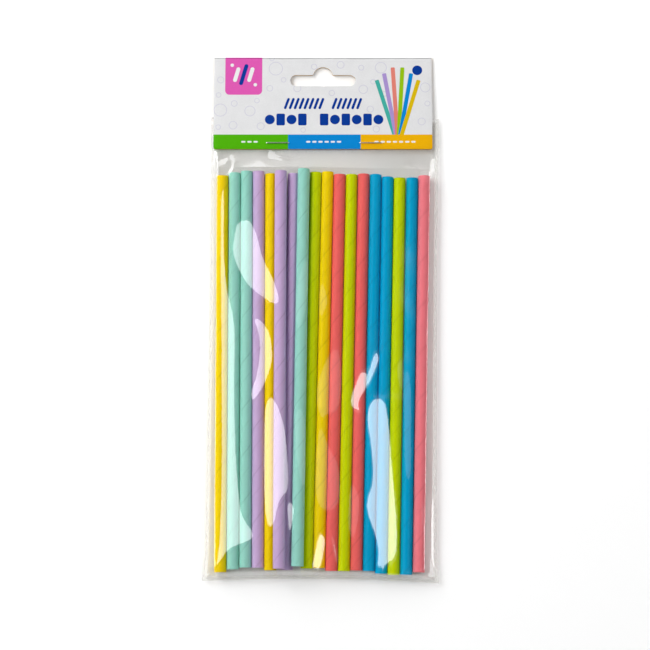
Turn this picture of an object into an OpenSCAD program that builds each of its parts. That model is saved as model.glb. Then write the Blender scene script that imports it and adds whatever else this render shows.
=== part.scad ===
// Pack of paper drinking straws: a clear film bag, stapled under a folded header card.
// The pack lies on its back on the plane Z = 0. X runs across the pack, Y runs towards
// the header, and the origin is on that plane, under the middle of the pack.

/* [Straws] */
// Outer diameter of a straw
straw_od = 6; // [5:0.5:8]
// Wall of a straw, three plies of paper
straw_wall = 0.4; // [0.3:0.05:0.8]
// Length of a straw
straw_l = 197; // [150:1:210]
// Clearance between straws that lie side by side
straw_gap = 0.02; // [0.02:0.01:0.2]

/* [Bag] */
// Thickness of the film
film_t = 0.05; // [0.03:0.01:0.12]
// Clearance between the film and the straws that carry it
film_gap = 0.15; // [0.12:0.01:0.4]
// Room between the row of straws and each side edge of the bag
side_room = 3.8; // [3.2:0.1:8]
// How far the row of straws lies left of the bag's middle
row_shift = 0.6; // [0:0.1:1]
// How far each side edge pulls in between the corners
waist = 1.1; // [0:0.1:1.5]
// Room between the card's lower edge and the straws' upper ends
top_room = 13; // [10:0.5:25]
// Room between the straws' lower ends and the bag's lower corners
end_room = 5.8; // [5.6:0.1:12]
// How far the bottom edge bows up between the corners
bottom_bow = 1.5; // [0:0.1:1.8]
// Width of the weld along the sides and the bottom
weld_w = 1.2; // [0.6:0.1:1.4]
// How far the mouth of the bag reaches up between the card's panels
mouth_depth = 16.5; // [8:0.5:20]
// Lean of the bag and its straws under the card, in degrees
bag_lean = 0.57; // [0:0.01:0.8]

/* [Header card] */
// Height of the folded card
card_h = 48.5; // [40:0.5:70]
// How far the card's side edges lie inside the bag's
card_inset = 2.2; // [0.5:0.1:6]
// Thickness of the board
board_t = 0.35; // [0.25:0.05:0.6]
// Gap between the card's two panels
panel_gap = 0.4; // [0.3:0.05:0.8]
// Radius of the card's lower corners
card_corner_r = 1; // [0.5:0.1:4]
// Tilt of the card, whose lower edge rides up on the full bag, in degrees
card_tilt = 2; // [1.5:0.1:3]

/* [Hang hole] */
// Width of the hang hole from wing tip to wing tip
slot_w = 33; // [28:0.5:40]
// Height of the wings
wing_h = 5.8; // [5:0.1:7]
// Radius of the dome over the middle
dome_r = 5.1; // [4:0.1:7]
// Height of the dome's centre above the wings' centre line
dome_rise = 2; // [1:0.1:3]
// Distance from the fold down to the wings' centre line
slot_drop = 12.4; // [11.5:0.1:16]

/* [Staples] */
// Length of a staple's crown
crown_l = 12; // [8:0.5:14]
// Diameter of the staple wire
wire_d = 0.55; // [0.4:0.05:0.7]
// Length of each leg's clinched run behind the card
clinch_l = 4; // [2.5:0.1:5]
// Clearance round the legs, and under the crown and the clinched runs
staple_gap = 0.08; // [0.04:0.01:0.12]
// Height of the staples above the card's lower edge
staple_rise = 3.2; // [2.5:0.1:6]
// Distance between the two staples, middle to middle
staple_span = 47.2; // [30:0.1:60]
// How far the pair of staples lies right of the card's middle
staple_shift = 0.7; // [0:0.1:2]

/* [Hidden] */
$fn = 64;

// Colours of the paper, the board, the film and the wire
LEMON = [0.93, 0.79, 0.08];
MINT = [0.58, 0.83, 0.76];
LILAC = [0.75, 0.63, 0.80];
LIME = [0.76, 0.84, 0.02];
CORAL = [0.88, 0.40, 0.39];
SKY = [0.02, 0.64, 0.82];
ROSE = [0.90, 0.47, 0.53];
BOARD = [0.94, 0.94, 0.95];
FILM = [0.88, 0.92, 0.95, 0.3];
WIRE = [0.76, 0.77, 0.78];
STRAW_COLOURS = [LEMON, MINT, MINT, LILAC, LEMON, LILAC, LILAC, MINT, LIME,
    LEMON, CORAL, LIME, CORAL, SKY, SKY, LIME, SKY, ROSE];

// Spacing added to each touching pair of straws at the header end and at the foot end.
// A negative value lays one straw of the pair over the other.
SLIP_HEAD = [0.1, 0, 0, 0.15, -1, 0.35, -0.9, 0, 0, 0.05, 0, 0, 0.05, 0, 0, 0.3, 0];
SLIP_FOOT = [0.05, 0.1, 0.05, 0, -1.6, -2.5, -0.7, -1.6, 0, 0, 0.05, 0, 0, 0, 0, 0.15, 0];
// How far each straw has slid towards the header
SLIDE = [-1.6, -0.1, 0.8, 0.8, -0.4, 0.4, -0.2, 1.6, 0.6, 0.9, -0.4, -0.4, -0.1, -0.3,
    -1.5, -2, -1.9, -0.7];
// The straws that ride on their neighbours, counted from 0
RAISED = [5, 7];

function mix(a, b, t) = a + (b - a) * t;
function clamp01(t) = max(0, min(1, t));
function total(v, n) = n > 0 ? v[n - 1] + total(v, n - 1) : 0;

// The row of straws, in the bag's own plane: u runs across the bag, v up it, and v = 0
// is the line of the staples
straw_r = straw_od / 2;
last = len(SLIDE) - 1;
touch = straw_od + straw_gap;
head_w = last * touch + total(SLIP_HEAD, last);
foot_w = last * touch + total(SLIP_FOOT, last);
head_v = -staple_rise - top_room;
foot_v = head_v - straw_l;
rest_z = film_t + straw_r + straw_gap;

function step_head(k) = touch + SLIP_HEAD[k];
function step_foot(k) = touch + SLIP_FOOT[k];
function head_u(k) = -row_shift - head_w / 2 + k * touch + total(SLIP_HEAD, k);
function foot_u(k) = -row_shift - foot_w / 2 + k * touch + total(SLIP_FOOT, k);
// Rise of a straw that lies over a neighbour a step away, by the sides of the triangle
function rise_over(step) = sqrt(max(0, touch * touch - step * step));
function is_raised(k) = len(search(k, RAISED)) > 0;
function head_z(k) = rest_z
    + (is_raised(k) ? max(rise_over(step_head(k - 1)), rise_over(step_head(k))) : 0);
function foot_z(k) = rest_z
    + (is_raised(k) ? max(rise_over(step_foot(k - 1)), rise_over(step_foot(k))) : 0);
// Axis of straw k at the height v, across the bag and above the floor
function axis_u(k, v) = mix(foot_u(k), head_u(k), (v - foot_v) / straw_l);
function axis_z(k, v) = mix(foot_z(k), head_z(k), (v - foot_v) / straw_l);

// The bag's outline in its own plane
bag_half = head_w / 2 + straw_r + side_room;
bag_foot_v = foot_v - end_room;
bag_mouth_v = mouth_depth - staple_rise;
// The sides pull in over this stretch above the bottom corners, and come out again over
// the upper share of the bag
corner_reach = 12;
waist_top_share = 0.6;

function bag_half_at(v) = lookup(v, [
    [bag_foot_v + weld_w, bag_half],
    [bag_foot_v + corner_reach, bag_half - waist],
    [mix(bag_foot_v, bag_mouth_v, waist_top_share), bag_half - waist],
    [bag_mouth_v, bag_half]]);
function bottom_v(u) = bag_foot_v + bottom_bow * (1 - pow(u / (bag_half - weld_w), 2));

// The card, with its fold on the floor at the top of the pack
card_w = 2 * (bag_half - card_inset);
card_t = 2 * board_t + panel_gap;
// Drop of the bag's right lower corner that the lean adds
lean_drop = bag_half * sin(bag_lean);
staple_drop = (card_h - staple_rise) * cos(card_tilt);
pack_l = staple_drop - bag_foot_v * cos(bag_lean) + lean_drop;
card_top_y = pack_l / 2;
card_edge_y = card_top_y - card_h * cos(card_tilt);
staple_y = card_top_y - staple_drop;
// The bag's axis crosses the staple line here, which centres the whole pack on X = 0
bag_mid_x = -(bag_foot_v + bag_mouth_v) / 2 * sin(bag_lean);

function world_x(u, v) = bag_mid_x + u * cos(bag_lean) + v * sin(bag_lean);
function world_y(u, v) = staple_y - u * sin(bag_lean) + v * cos(bag_lean);

// Middle plane between the card's panels, which the bag keeps to below the card too
function seam_z(y) = (card_top_y - max(y, card_edge_y)) * tan(card_tilt)
    + card_t / 2 / cos(card_tilt);

// The film's folds, each a line of [u, v, u, v] with its height
FOLDS = [
    [[-45, -38], [-25, -78], 1.1],
    [[-33, -88], [-30, -130], 0.9],
    [[-30, -132], [-24, -205], 1.2],
    [[-52, -60], [-46, -212], 0.7],
    [[-14, -45], [4, -165], 0.9],
    [[6, -170], [-6, -212], 0.8],
    [[26, -112], [12, -140], 1],
    [[24, -132], [27, -214], 1.2],
    [[36, -136], [36, -208], 0.8],
    [[48, -24], [44, -120], 0.6]];
fold_half_w = 7;

// Distance from p to the line from a to b
function line_distance(p, a, b) = let (
        d = b - a,
        t = clamp01((p - a) * d / (d * d)))
    norm(p - a - t * d);
function fold_z(p) = max([for (f = FOLDS)
    f[2] * clamp01(1 - line_distance(p, f[0], f[1]) / fold_half_w)]);

// Knots across the bag at the height v: the welds, the outer straws and the raised ones.
// The film runs level a shoulder's width past the outer straws' axes.
shoulder = straw_od / 4;
function knots_u(v) = let (w = bag_half_at(v) - weld_w) [
    -w, axis_u(0, v) - shoulder, axis_u(0, v), axis_u(RAISED[0], v), axis_u(RAISED[1], v),
    axis_u(last, v), axis_u(last, v) + shoulder, w];
function top_z(k, v) = axis_z(k, v) + straw_r + film_gap;
function tent_z(u, v, z) = let (k = knots_u(v)) lookup(u, [
    [k[0], z], [k[1], top_z(0, v)], [k[2], top_z(0, v)],
    [k[3], top_z(RAISED[0], v)], [k[4], top_z(RAISED[1], v)],
    [k[5], top_z(last, v)], [k[6], top_z(last, v)], [k[7], z]]);
function base_z(u, v, z) = let (k = knots_u(v))
    lookup(u, [[k[0], z], [k[1], film_t], [k[6], film_t], [k[7], z]]);

// Share of the bag's full depth: none under the card and at the weld, all over the straws.
// It grows evenly from the card's lower edge to a line just past the straws' upper ends,
// and in a quarter round over the end ramp at the bottom.
head_gap = 0.3;
end_ramp = 1.5;
body_v = head_v + max(SLIDE) + head_gap;
function edge_v(u) = (card_edge_y - staple_y) / cos(bag_lean) + u * tan(bag_lean);
function fullness(u, v) = clamp01((edge_v(u) - v) / (edge_v(u) - body_v))
    * sin(90 * clamp01((v - bottom_v(u) - weld_w) / end_ramp));

// Inner faces of the front film and of the back film, which part by twice this at a seam
parting = 0.01;
function front_z(u, v) = let (z = seam_z(world_y(u, v)) + parting, f = fullness(u, v))
    mix(z, tent_z(u, v, z) + fold_z([u, v]), f);
function back_z(u, v) = let (z = seam_z(world_y(u, v)) - parting)
    mix(z, base_z(u, v, z), fullness(u, v));

// The film's grid: columns in each span between two knots, and rows from the mouth down
SPANS = [2, 1, 8, 2, 14, 1, 2];
columns = total(SPANS, len(SPANS));
under_rows = 3;
ramp_rows = 4;
body_rows = 31;
end_rows = 3;
rows = under_rows + ramp_rows + body_rows + end_rows;

function column_u(v, c, s = 0) = let (k = knots_u(v))
    c <= SPANS[s] ? mix(k[s], k[s + 1], c / SPANS[s]) : column_u(v, c - SPANS[s], s + 1);
// Height of row r at u: the mouth, the card's lower edge, the straws' upper ends, the
// start of the end ramp, and last the weld line at the bottom
function row_v(r, u) = let (foot = bottom_v(u) + weld_w + end_ramp)
    r <= under_rows ? mix(bag_mouth_v, edge_v(u), r / under_rows)
    : r <= under_rows + ramp_rows ? mix(edge_v(u), body_v, (r - under_rows) / ramp_rows)
    : r <= rows - end_rows ? mix(body_v, foot, (r - under_rows - ramp_rows) / body_rows)
    : mix(foot, foot - end_ramp, (r - rows + end_rows) / end_rows);

function film_point(u, v, z) = [world_x(u, v), world_y(u, v), z];
function inner_point(r, c, front) = let (
        v = row_v(r, column_u(row_v(r, 0), c)),
        u = column_u(v, c))
    film_point(u, v, front ? front_z(u, v) : back_z(u, v));
// The outer grid has one more column at each side and one more row at the bottom, at the
// outer edges of the welds
function outer_point(r, c, front) = let (
        row = min(r, rows),
        column = max(0, min(columns, c - 1)),
        v = row_v(row, column_u(row_v(row, 0), column)),
        u = column_u(v, column),
        out = c == 0 ? -weld_w : c == columns + 2 ? weld_w : 0,
        down = r > rows ? weld_w : 0)
    film_point(u + out, v - down, front ? front_z(u, v) + film_t : back_z(u, v) - film_t);

// Numbers of n points from a on, a step apart
function every(a, step, n) = [for (i = [0:n - 1]) a + i * step];
// Triangles between two lists of points of one length
function strip(a, b) = [for (i = [0:len(a) - 2]) each
    [[a[i], a[i + 1], b[i + 1]], [a[i], b[i + 1], b[i]]]];
function grid(first, cols, lines) = [for (r = [0:lines - 2]) each
    strip(every(first + r * cols, 1, cols), every(first + (r + 1) * cols, 1, cols))];
function flip(faces) = [for (f = faces) [f[2], f[1], f[0]]];
function fan(p, others) = [for (i = [0:len(others) - 2]) [p, others[i], others[i + 1]]];

module header_card() {
    leaf_r = card_t / 2;
    color(BOARD)
        translate([0, card_top_y, 0])
            rotate([-card_tilt, 0, 0])
                difference() {
                    intersection() {
                        rotate([90, 0, 90])
                            linear_extrude(card_w, center = true)
                                folded_section(leaf_r);
                        linear_extrude(3 * card_t, center = true)
                            card_outline();
                    }
                    hang_hole();
                    for (side = [-1, 1])
                        staple_holes(side);
                }
}

// Section of the folded board: two panels and the half round that joins them
module folded_section(outer_r) {
    difference() {
        union() {
            translate([-outer_r, outer_r])
                circle(outer_r);
            translate([-card_h, 0])
                square([card_h - outer_r, card_t]);
        }
        translate([-outer_r, outer_r])
            circle(panel_gap / 2);
        translate([-card_h - 1, board_t])
            square([card_h - outer_r + 1, panel_gap]);
    }
}

// Outline of the card with its two lower corners rounded
module card_outline() {
    difference() {
        translate([-card_w / 2, -card_h])
            square([card_w, card_h]);
        for (side = [-1, 1])
            translate([side * (card_w / 2 - card_corner_r), card_corner_r - card_h])
                difference() {
                    translate([side > 0 ? 0 : -2 * card_corner_r, -2 * card_corner_r])
                        square(2 * card_corner_r);
                    circle(card_corner_r);
                }
    }
}

// Hang hole: a slot with round ends and a dome over its middle, through both panels
module hang_hole() {
    wing_r = wing_h / 2;
    translate([0, -slot_drop, -card_t])
        linear_extrude(3 * card_t) {
            for (side = [-1, 1])
                translate([side * (slot_w / 2 - wing_r), 0])
                    circle(wing_r);
            square([slot_w - wing_h, wing_h], center = true);
            translate([0, dome_rise])
                circle(dome_r);
        }
}

function staple_x(side) = staple_shift + side * staple_span / 2;
// Radius of the wire's bends at its centre line, so that a leg is straight inside its hole
bend_r = wire_d / 2 + staple_gap;

// The two holes that a staple's legs go through, in the card's own frame
module staple_holes(side) {
    for (leg = [-1, 1])
        translate([staple_x(side) + leg * (crown_l - wire_d) / 2,
                staple_rise - card_h, -card_t])
            cylinder(h = 3 * card_t, d = wire_d + 2 * staple_gap, $fn = 24);
}

// Staple: crown over the front panel, two legs through the card and the bag, and the
// legs' ends clinched inwards behind the back panel
module staple(side) {
    leg_x = (crown_l - wire_d) / 2;
    crown_z = card_t + staple_gap + wire_d / 2;
    clinch_z = -staple_gap - wire_d / 2;
    color(WIRE)
        translate([0, card_top_y, 0])
            rotate([-card_tilt, 0, 0])
                translate([staple_x(side), staple_rise - card_h, 0]) {
                    wire_run(2 * (leg_x - bend_r), crown_z, 0);
                    for (leg = [-1, 1]) {
                        wire_bend(leg, leg_x, crown_z - bend_r, 0);
                        translate([leg * leg_x, 0, clinch_z + bend_r])
                            cylinder(h = crown_z - clinch_z - 2 * bend_r, d = wire_d, $fn = 24);
                        wire_bend(leg, leg_x, clinch_z + bend_r, 1);
                        wire_run(clinch_l, clinch_z, leg * (leg_x - bend_r - clinch_l / 2));
                    }
                }
}

// A straight run of wire along X with its middle at x
module wire_run(length, z, x) {
    translate([x, 0, z])
        rotate([0, 90, 0])
            cylinder(h = length, d = wire_d, center = true, $fn = 24);
}

// A quarter bend at a corner of the staple, above or below the height z
module wire_bend(leg, leg_x, z, below) {
    translate([leg * (leg_x - bend_r), 0, z])
        mirror([leg < 0 ? 1 : 0, 0, 0])
            mirror([0, 0, below])
                rotate([90, 0, 0])
                    rotate_extrude(angle = 90, $fn = 48)
                        translate([bend_r, 0])
                            circle(d = wire_d, $fn = 24);
}

// Bag: one shell of film from an outer and an inner grid on each side, joined at the
// side edges, at the bottom edge and round the mouth
module bag() {
    oc = columns + 3;
    ic = columns + 1;
    orows = rows + 2;
    irows = rows + 1;
    of = 0;
    ob = of + oc * orows;
    inf = ob + oc * orows;
    inb = inf + ic * irows;
    points = concat(
        [for (r = [0:orows - 1], c = [0:oc - 1]) outer_point(r, c, true)],
        [for (r = [0:orows - 1], c = [0:oc - 1]) outer_point(r, c, false)],
        [for (r = [0:irows - 1], c = [0:ic - 1]) inner_point(r, c, true)],
        [for (r = [0:irows - 1], c = [0:ic - 1]) inner_point(r, c, false)]);
    faces = concat(
        grid(of, oc, orows),
        flip(grid(ob, oc, orows)),
        flip(grid(inf, ic, irows)),
        grid(inb, ic, irows),
        // Outer edges: left, right and bottom
        strip(every(of, oc, orows), every(ob, oc, orows)),
        strip(every(ob + oc - 1, oc, orows), every(of + oc - 1, oc, orows)),
        strip(every(of + oc * (orows - 1), 1, oc), every(ob + oc * (orows - 1), 1, oc)),
        // Inner edges, at the inner lines of the welds
        strip(every(inb, ic, irows), every(inf, ic, irows)),
        strip(every(inf + ic - 1, ic, irows), every(inb + ic - 1, ic, irows)),
        strip(every(inb + ic * (irows - 1), 1, ic), every(inf + ic * (irows - 1), 1, ic)),
        // The mouth's cut edges, front and back, and the ends of the side welds
        strip(every(inf, 1, ic), every(of + 1, 1, ic)),
        strip(every(ob + 1, 1, ic), every(inb, 1, ic)),
        fan(of, [ob, ob + 1, inb, inf, of + 1]),
        fan(of + oc - 1, [of + oc - 2, inf + ic - 1, inb + ic - 1, ob + oc - 2, ob + oc - 1]));
    color(FILM)
        difference() {
            polyhedron(points, faces, convexity = 10);
            translate([0, card_top_y, 0])
                rotate([-card_tilt, 0, 0])
                    for (side = [-1, 1])
                        staple_holes(side);
        }
}

// Straw k: a paper tube on its own slightly leaning axis
module straw(k) {
    du = head_u(k) - foot_u(k);
    dz = head_z(k) - foot_z(k);
    mid_v = (head_v + foot_v) / 2 + SLIDE[k];
    mid_u = axis_u(k, mid_v);
    color(STRAW_COLOURS[k])
        translate([world_x(mid_u, mid_v), world_y(mid_u, mid_v), axis_z(k, mid_v)])
            rotate([0, 0, -bag_lean - atan2(du, straw_l)])
                rotate([atan2(dz, straw_l) - 90, 0, 0])
                    difference() {
                        cylinder(h = straw_l, r = straw_r, center = true);
                        cylinder(h = straw_l + 2, r = straw_r - straw_wall, center = true);
                    }
}

header_card();
bag();
staple(-1);  // staple_left
staple(1);  // staple_right
straw(0);  // straw_01
straw(1);  // straw_02
straw(2);  // straw_03
straw(3);  // straw_04
straw(4);  // straw_05
straw(5);  // straw_06
straw(6);  // straw_07
straw(7);  // straw_08
straw(8);  // straw_09
straw(9);  // straw_10
straw(10);  // straw_11
straw(11);  // straw_12
straw(12);  // straw_13
straw(13);  // straw_14
straw(14);  // straw_15
straw(15);  // straw_16
straw(16);  // straw_17
straw(17);  // straw_18
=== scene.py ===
"""Looks of a bagged pack of paper drinking straws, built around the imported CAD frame.

Shapes are worked out in millimetres with numpy and written to Blender in metres. X runs
across the pack, Y towards the header card, and the pack lies on its back on Z = 0.
"""

from __future__ import annotations

import logging
import math
from collections.abc import Iterable
from dataclasses import dataclass, field
from enum import Enum

import bmesh
import bpy
import numpy as np
from mathutils import Matrix, Vector

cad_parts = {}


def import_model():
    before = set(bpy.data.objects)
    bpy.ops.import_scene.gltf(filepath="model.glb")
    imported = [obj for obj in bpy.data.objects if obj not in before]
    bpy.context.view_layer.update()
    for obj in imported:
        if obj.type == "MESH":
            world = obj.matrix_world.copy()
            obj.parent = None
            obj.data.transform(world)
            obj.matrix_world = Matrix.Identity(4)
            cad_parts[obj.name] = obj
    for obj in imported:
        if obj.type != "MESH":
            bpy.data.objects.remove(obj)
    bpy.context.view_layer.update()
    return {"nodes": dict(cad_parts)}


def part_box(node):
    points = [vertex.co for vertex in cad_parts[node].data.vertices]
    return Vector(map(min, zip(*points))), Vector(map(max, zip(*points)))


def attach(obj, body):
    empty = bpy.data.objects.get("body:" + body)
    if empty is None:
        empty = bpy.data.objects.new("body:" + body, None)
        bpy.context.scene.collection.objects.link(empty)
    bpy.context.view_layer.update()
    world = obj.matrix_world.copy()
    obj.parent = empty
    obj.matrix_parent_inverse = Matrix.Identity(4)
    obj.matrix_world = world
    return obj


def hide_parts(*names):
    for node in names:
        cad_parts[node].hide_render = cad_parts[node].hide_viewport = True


LOG = logging.getLogger("straw_pack")
MM = 0.001
Array = np.ndarray
Pair = tuple[Array, Array]
Colour = tuple[float, float, float]
# Names of the pieces' UV map and attributes, which the materials read by name.
SURFACE_MAP = "millimetres"
CORE_SHARE = "core"
WELD_SHARE = "weld"


class Slot(str, Enum):
    """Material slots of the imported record."""

    BOARD = "board"
    FILM = "film"
    WIRE = "staple_wire"
    LEMON = "paper_lemon"
    MINT = "paper_mint"
    LILAC = "paper_lilac"
    LIME = "paper_lime"
    CORAL = "paper_coral"
    SKY = "paper_sky"
    ROSE = "paper_rose"


def from_srgb(*channels: int) -> Colour:
    """Turns red, green and blue as written on a screen, 0 to 255, into linear light."""
    share = np.array(channels) / 255
    linear = np.where(share <= 0.04045, share / 12.92, ((share + 0.055) / 1.055) ** 2.4)
    return tuple(float(value) for value in linear)


def shaded(colour: Colour, factor: float) -> Colour:
    """Returns a colour times a factor, held to 1."""
    return tuple(min(1.0, channel * factor) for channel in colour)


def smooth_step(low: float, high: float, value: Array) -> Array:
    """Ramp t * t * (3 - 2 t) with t = (value - low) / (high - low), held to 0..1."""
    share = np.clip((value - low) / (high - low), 0, 1)
    return share * share * (3 - 2 * share)


def line(x: float | Array, y: float | Array) -> Array:
    """Joins X and Y into places, where one of the two may be a single number."""
    return np.stack(np.broadcast_arrays(x, y), axis=-1)


def arc(x: float, y: float, radius: float, angle: Array) -> Array:
    """Places (x, y) + radius * (cos a, sin a) on a circle, at each angle a."""
    return line(x + radius * np.cos(angle), y + radius * np.sin(angle))


# Meshes


@dataclass
class Shell:
    """Vertices, four-sided faces and face-corner coordinates, gathered before Blender.

    Attributes:
        points: Vertex positions in millimetres, one row each.
        quads: Vertex numbers of each face.
        corners: UV of each face corner, in millimetres.
    """

    points: Array
    quads: Array
    corners: Array

    @staticmethod
    def of_grid(
        points: Array, uv: Array, wrap_rows: bool = False, wrap_columns: bool = False
    ) -> Shell:
        """Joins a grid of points into faces, which look along row step x column step.

        Args:
            points: Positions, shaped (rows, columns, 3).
            uv: Coordinates, shaped (rows + wrap_rows, columns + wrap_columns, 2).
            wrap_rows: Whether the last row joins the first.
            wrap_columns: Whether the last column joins the first.

        Returns:
            The grid's shell.
        """
        rows, columns = points.shape[:2]
        row = np.arange(rows if wrap_rows else rows - 1)[:, None]
        column = np.arange(columns if wrap_columns else columns - 1)[None, :]
        steps = ((0, 0), (1, 0), (1, 1), (0, 1))
        number = [((row + i) % rows) * columns + (column + j) % columns for i, j in steps]
        corner = [uv[row + i, column + j] for i, j in steps]
        return Shell(
            points.reshape(-1, 3),
            np.stack(number, axis=-1).reshape(-1, 4),
            np.stack(corner, axis=2).reshape(-1, 4, 2),
        )

    def joined(self, other: Shell) -> Shell:
        """Returns this shell with another one's vertices and faces added."""
        return Shell(
            np.vstack([self.points, other.points]),
            np.vstack([self.quads, other.quads + len(self.points)]),
            np.vstack([self.corners, other.corners]),
        )

    def piece(self, name: str, attributes: dict[str, Array] | None = None) -> bpy.types.Object:
        """Makes a smooth-shaded object at the origin from the shell.

        Args:
            name: Name of the object and its mesh.
            attributes: One number a vertex under each attribute's name.

        Returns:
            The new object, linked to the scene.
        """
        mesh = bpy.data.meshes.new(name)
        mesh.vertices.add(len(self.points))
        mesh.vertices.foreach_set("co", (self.points * MM).astype(np.float32).ravel())
        mesh.loops.add(self.quads.size)
        mesh.loops.foreach_set("vertex_index", self.quads.astype(np.int32).ravel())
        mesh.polygons.add(len(self.quads))
        mesh.polygons.foreach_set("loop_start", np.arange(0, self.quads.size, 4, dtype=np.int32))
        mesh.polygons.foreach_set("use_smooth", np.ones(len(self.quads), dtype=bool))
        layer = mesh.uv_layers.new(name=SURFACE_MAP)
        layer.data.foreach_set("uv", self.corners.astype(np.float32).ravel())
        for key, values in (attributes or {}).items():
            made = mesh.attributes.new(key, "FLOAT", "POINT")
            made.data.foreach_set("value", values.astype(np.float32).ravel())
        mesh.update(calc_edges=True)
        mesh.validate()
        made_object = bpy.data.objects.new(name, mesh)
        bpy.context.scene.collection.objects.link(made_object)
        return made_object


def place(piece: bpy.types.Object, slot: Slot, *nodes: str) -> bpy.types.Object:
    """Lets a piece ride on the pack in place of CAD nodes.

    Args:
        piece: The new piece.
        slot: The record's material slot; not used.
        *nodes: The CAD nodes that it stands for.

    Returns:
        The piece.
    """
    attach(piece, "root")
    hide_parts(*nodes)
    triangles = sum(len(face.vertices) - 2 for face in piece.data.polygons)
    LOG.info("%s: %d triangles before modifiers", piece.name, triangles)
    return piece


# Material nodes

Socket = bpy.types.NodeSocket
Sockets = bpy.types.bpy_prop_collection
Value = float | Socket
Vector3 = tuple[float, float, float] | Socket


@dataclass
class Wiring:
    """Adds nodes to a material's tree or a group's tree."""

    tree: bpy.types.NodeTree

    def node(
        self, kind: str, inputs: dict[str | int, object] | None = None, **fields: object
    ) -> bpy.types.Node:
        """Adds one node.

        Args:
            kind: Blender's type name, without its ShaderNode start.
            inputs: Value or socket for each named or numbered input.
            **fields: Settings of the node itself.

        Returns:
            The new node.
        """
        made = self.tree.nodes.new(kind if kind.startswith("Node") else "ShaderNode" + kind)
        for key, value in fields.items():
            setattr(made, key, value)
        for key, value in (inputs or {}).items():
            self.feed(made.inputs[key], value)
        return made

    def feed(self, socket: Socket, value: object) -> None:
        """Links a socket to an input, or sets a plain value on it."""
        if isinstance(value, bpy.types.NodeSocket):
            self.tree.links.new(value, socket)
        elif isinstance(value, tuple) and socket.type == "RGBA":
            socket.default_value = (*value, 1.0)
        else:
            socket.default_value = value

    def math(self, operation: str, *values: Value, clamp: bool = False) -> Socket:
        """Adds a Math node on up to three values and returns its result."""
        node = self.node("Math", dict(enumerate(values)), operation=operation, use_clamp=clamp)
        return node.outputs[0]

    def split(self, vector: Vector3) -> tuple[Socket, Socket, Socket]:
        """Returns a vector's X, Y and Z."""
        node = self.node("SeparateXYZ", {0: vector})
        return node.outputs[0], node.outputs[1], node.outputs[2]

    def ramp(
        self, value: Value, low: float, high: float, start: float = 0.0, end: float = 1.0
    ) -> Socket:
        """Adds a smooth ramp from start at low to end at high, and returns its result."""
        inputs = {"Value": value, "From Min": low, "From Max": high, "To Min": start, "To Max": end}
        node = self.node("MapRange", inputs, interpolation_type="SMOOTHSTEP")
        return node.outputs["Result"]

    def mix(self, share: Value, first: object, second: object, blend: str = "MIX") -> Socket:
        """Mixes two colours and returns the result."""
        node = self.node("Mix", data_type="RGBA", blend_type=blend)
        for socket, value in zip((node.inputs[0], node.inputs[6], node.inputs[7]),
                                 (share, first, second)):
            self.feed(socket, value)
        return node.outputs[2]

    def noise(
        self, vector: Vector3, scale: Value, detail: float = 2.0, rough: float = 0.5
    ) -> Socket:
        """Adds a noise of so many waves a unit, and returns its value."""
        inputs = {"Vector": vector, "Scale": scale, "Detail": detail, "Roughness": rough}
        return self.node("TexNoise", inputs).outputs[0]

    def group(self, tree: bpy.types.NodeTree, **inputs: object) -> Sockets:
        """Places a node group, with inputs by name, underscores for spaces: its outputs."""
        node = self.node("Group", node_tree=tree)
        for key, value in inputs.items():
            self.feed(node.inputs[key.replace("_", " ")], value)
        return node.outputs

    def vector(self, x: Value, y: Value, z: Value = 0.0) -> Socket:
        """Joins three numbers into a vector."""
        return self.node("CombineXYZ", {0: x, 1: y, 2: z}).outputs[0]

    def surface_place(self) -> Socket:
        """Returns the place on the piece's own surface, in millimetres."""
        return self.node("UVMap", uv_map=SURFACE_MAP).outputs[0]

    def bump(self, height: Value, depth: float, strength: float) -> Socket:
        """Adds a bump so many millimetres deep, and returns its normal."""
        inputs = {"Height": height, "Distance": MM * depth, "Strength": strength}
        return self.node("Bump", inputs).outputs[0]

    def principled(self, colour: object, rough: Value, normal: Socket, **plain: float) -> Socket:
        """Adds a Principled shader.

        Args:
            colour: Base colour.
            rough: Roughness.
            normal: Normal.
            **plain: Numbers set on other inputs, by name, underscores for spaces.

        Returns:
            The shader's output.
        """
        inputs = {"Base Color": colour, "Roughness": rough, "Normal": normal}
        inputs |= {key.replace("_", " "): value for key, value in plain.items()}
        return self.node("BsdfPrincipled", inputs).outputs[0]


def new_group(
    name: str, numbers: tuple[str, ...], results: tuple[str, ...]
) -> tuple[Wiring, Sockets, Sockets]:
    """Starts a node group that takes in a vector and numbers, and gives out numbers.

    Args:
        name: Name of the group.
        numbers: Names of the numbers that it takes in.
        results: Names of the numbers that it gives out.

    Returns:
        The wiring of the group's tree, what the group takes in and what it gives out.
    """
    tree = bpy.data.node_groups.new(name, "ShaderNodeTree")
    tree.interface.new_socket(name="Vector", in_out="INPUT", socket_type="NodeSocketVector")
    for way, keys in (("INPUT", numbers), ("OUTPUT", results)):
        for key in keys:
            tree.interface.new_socket(name=key, in_out=way, socket_type="NodeSocketFloat")
    wiring = Wiring(tree)
    taken, given = wiring.node("NodeGroupInput"), wiring.node("NodeGroupOutput")
    return wiring, taken.outputs, given.inputs


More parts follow.
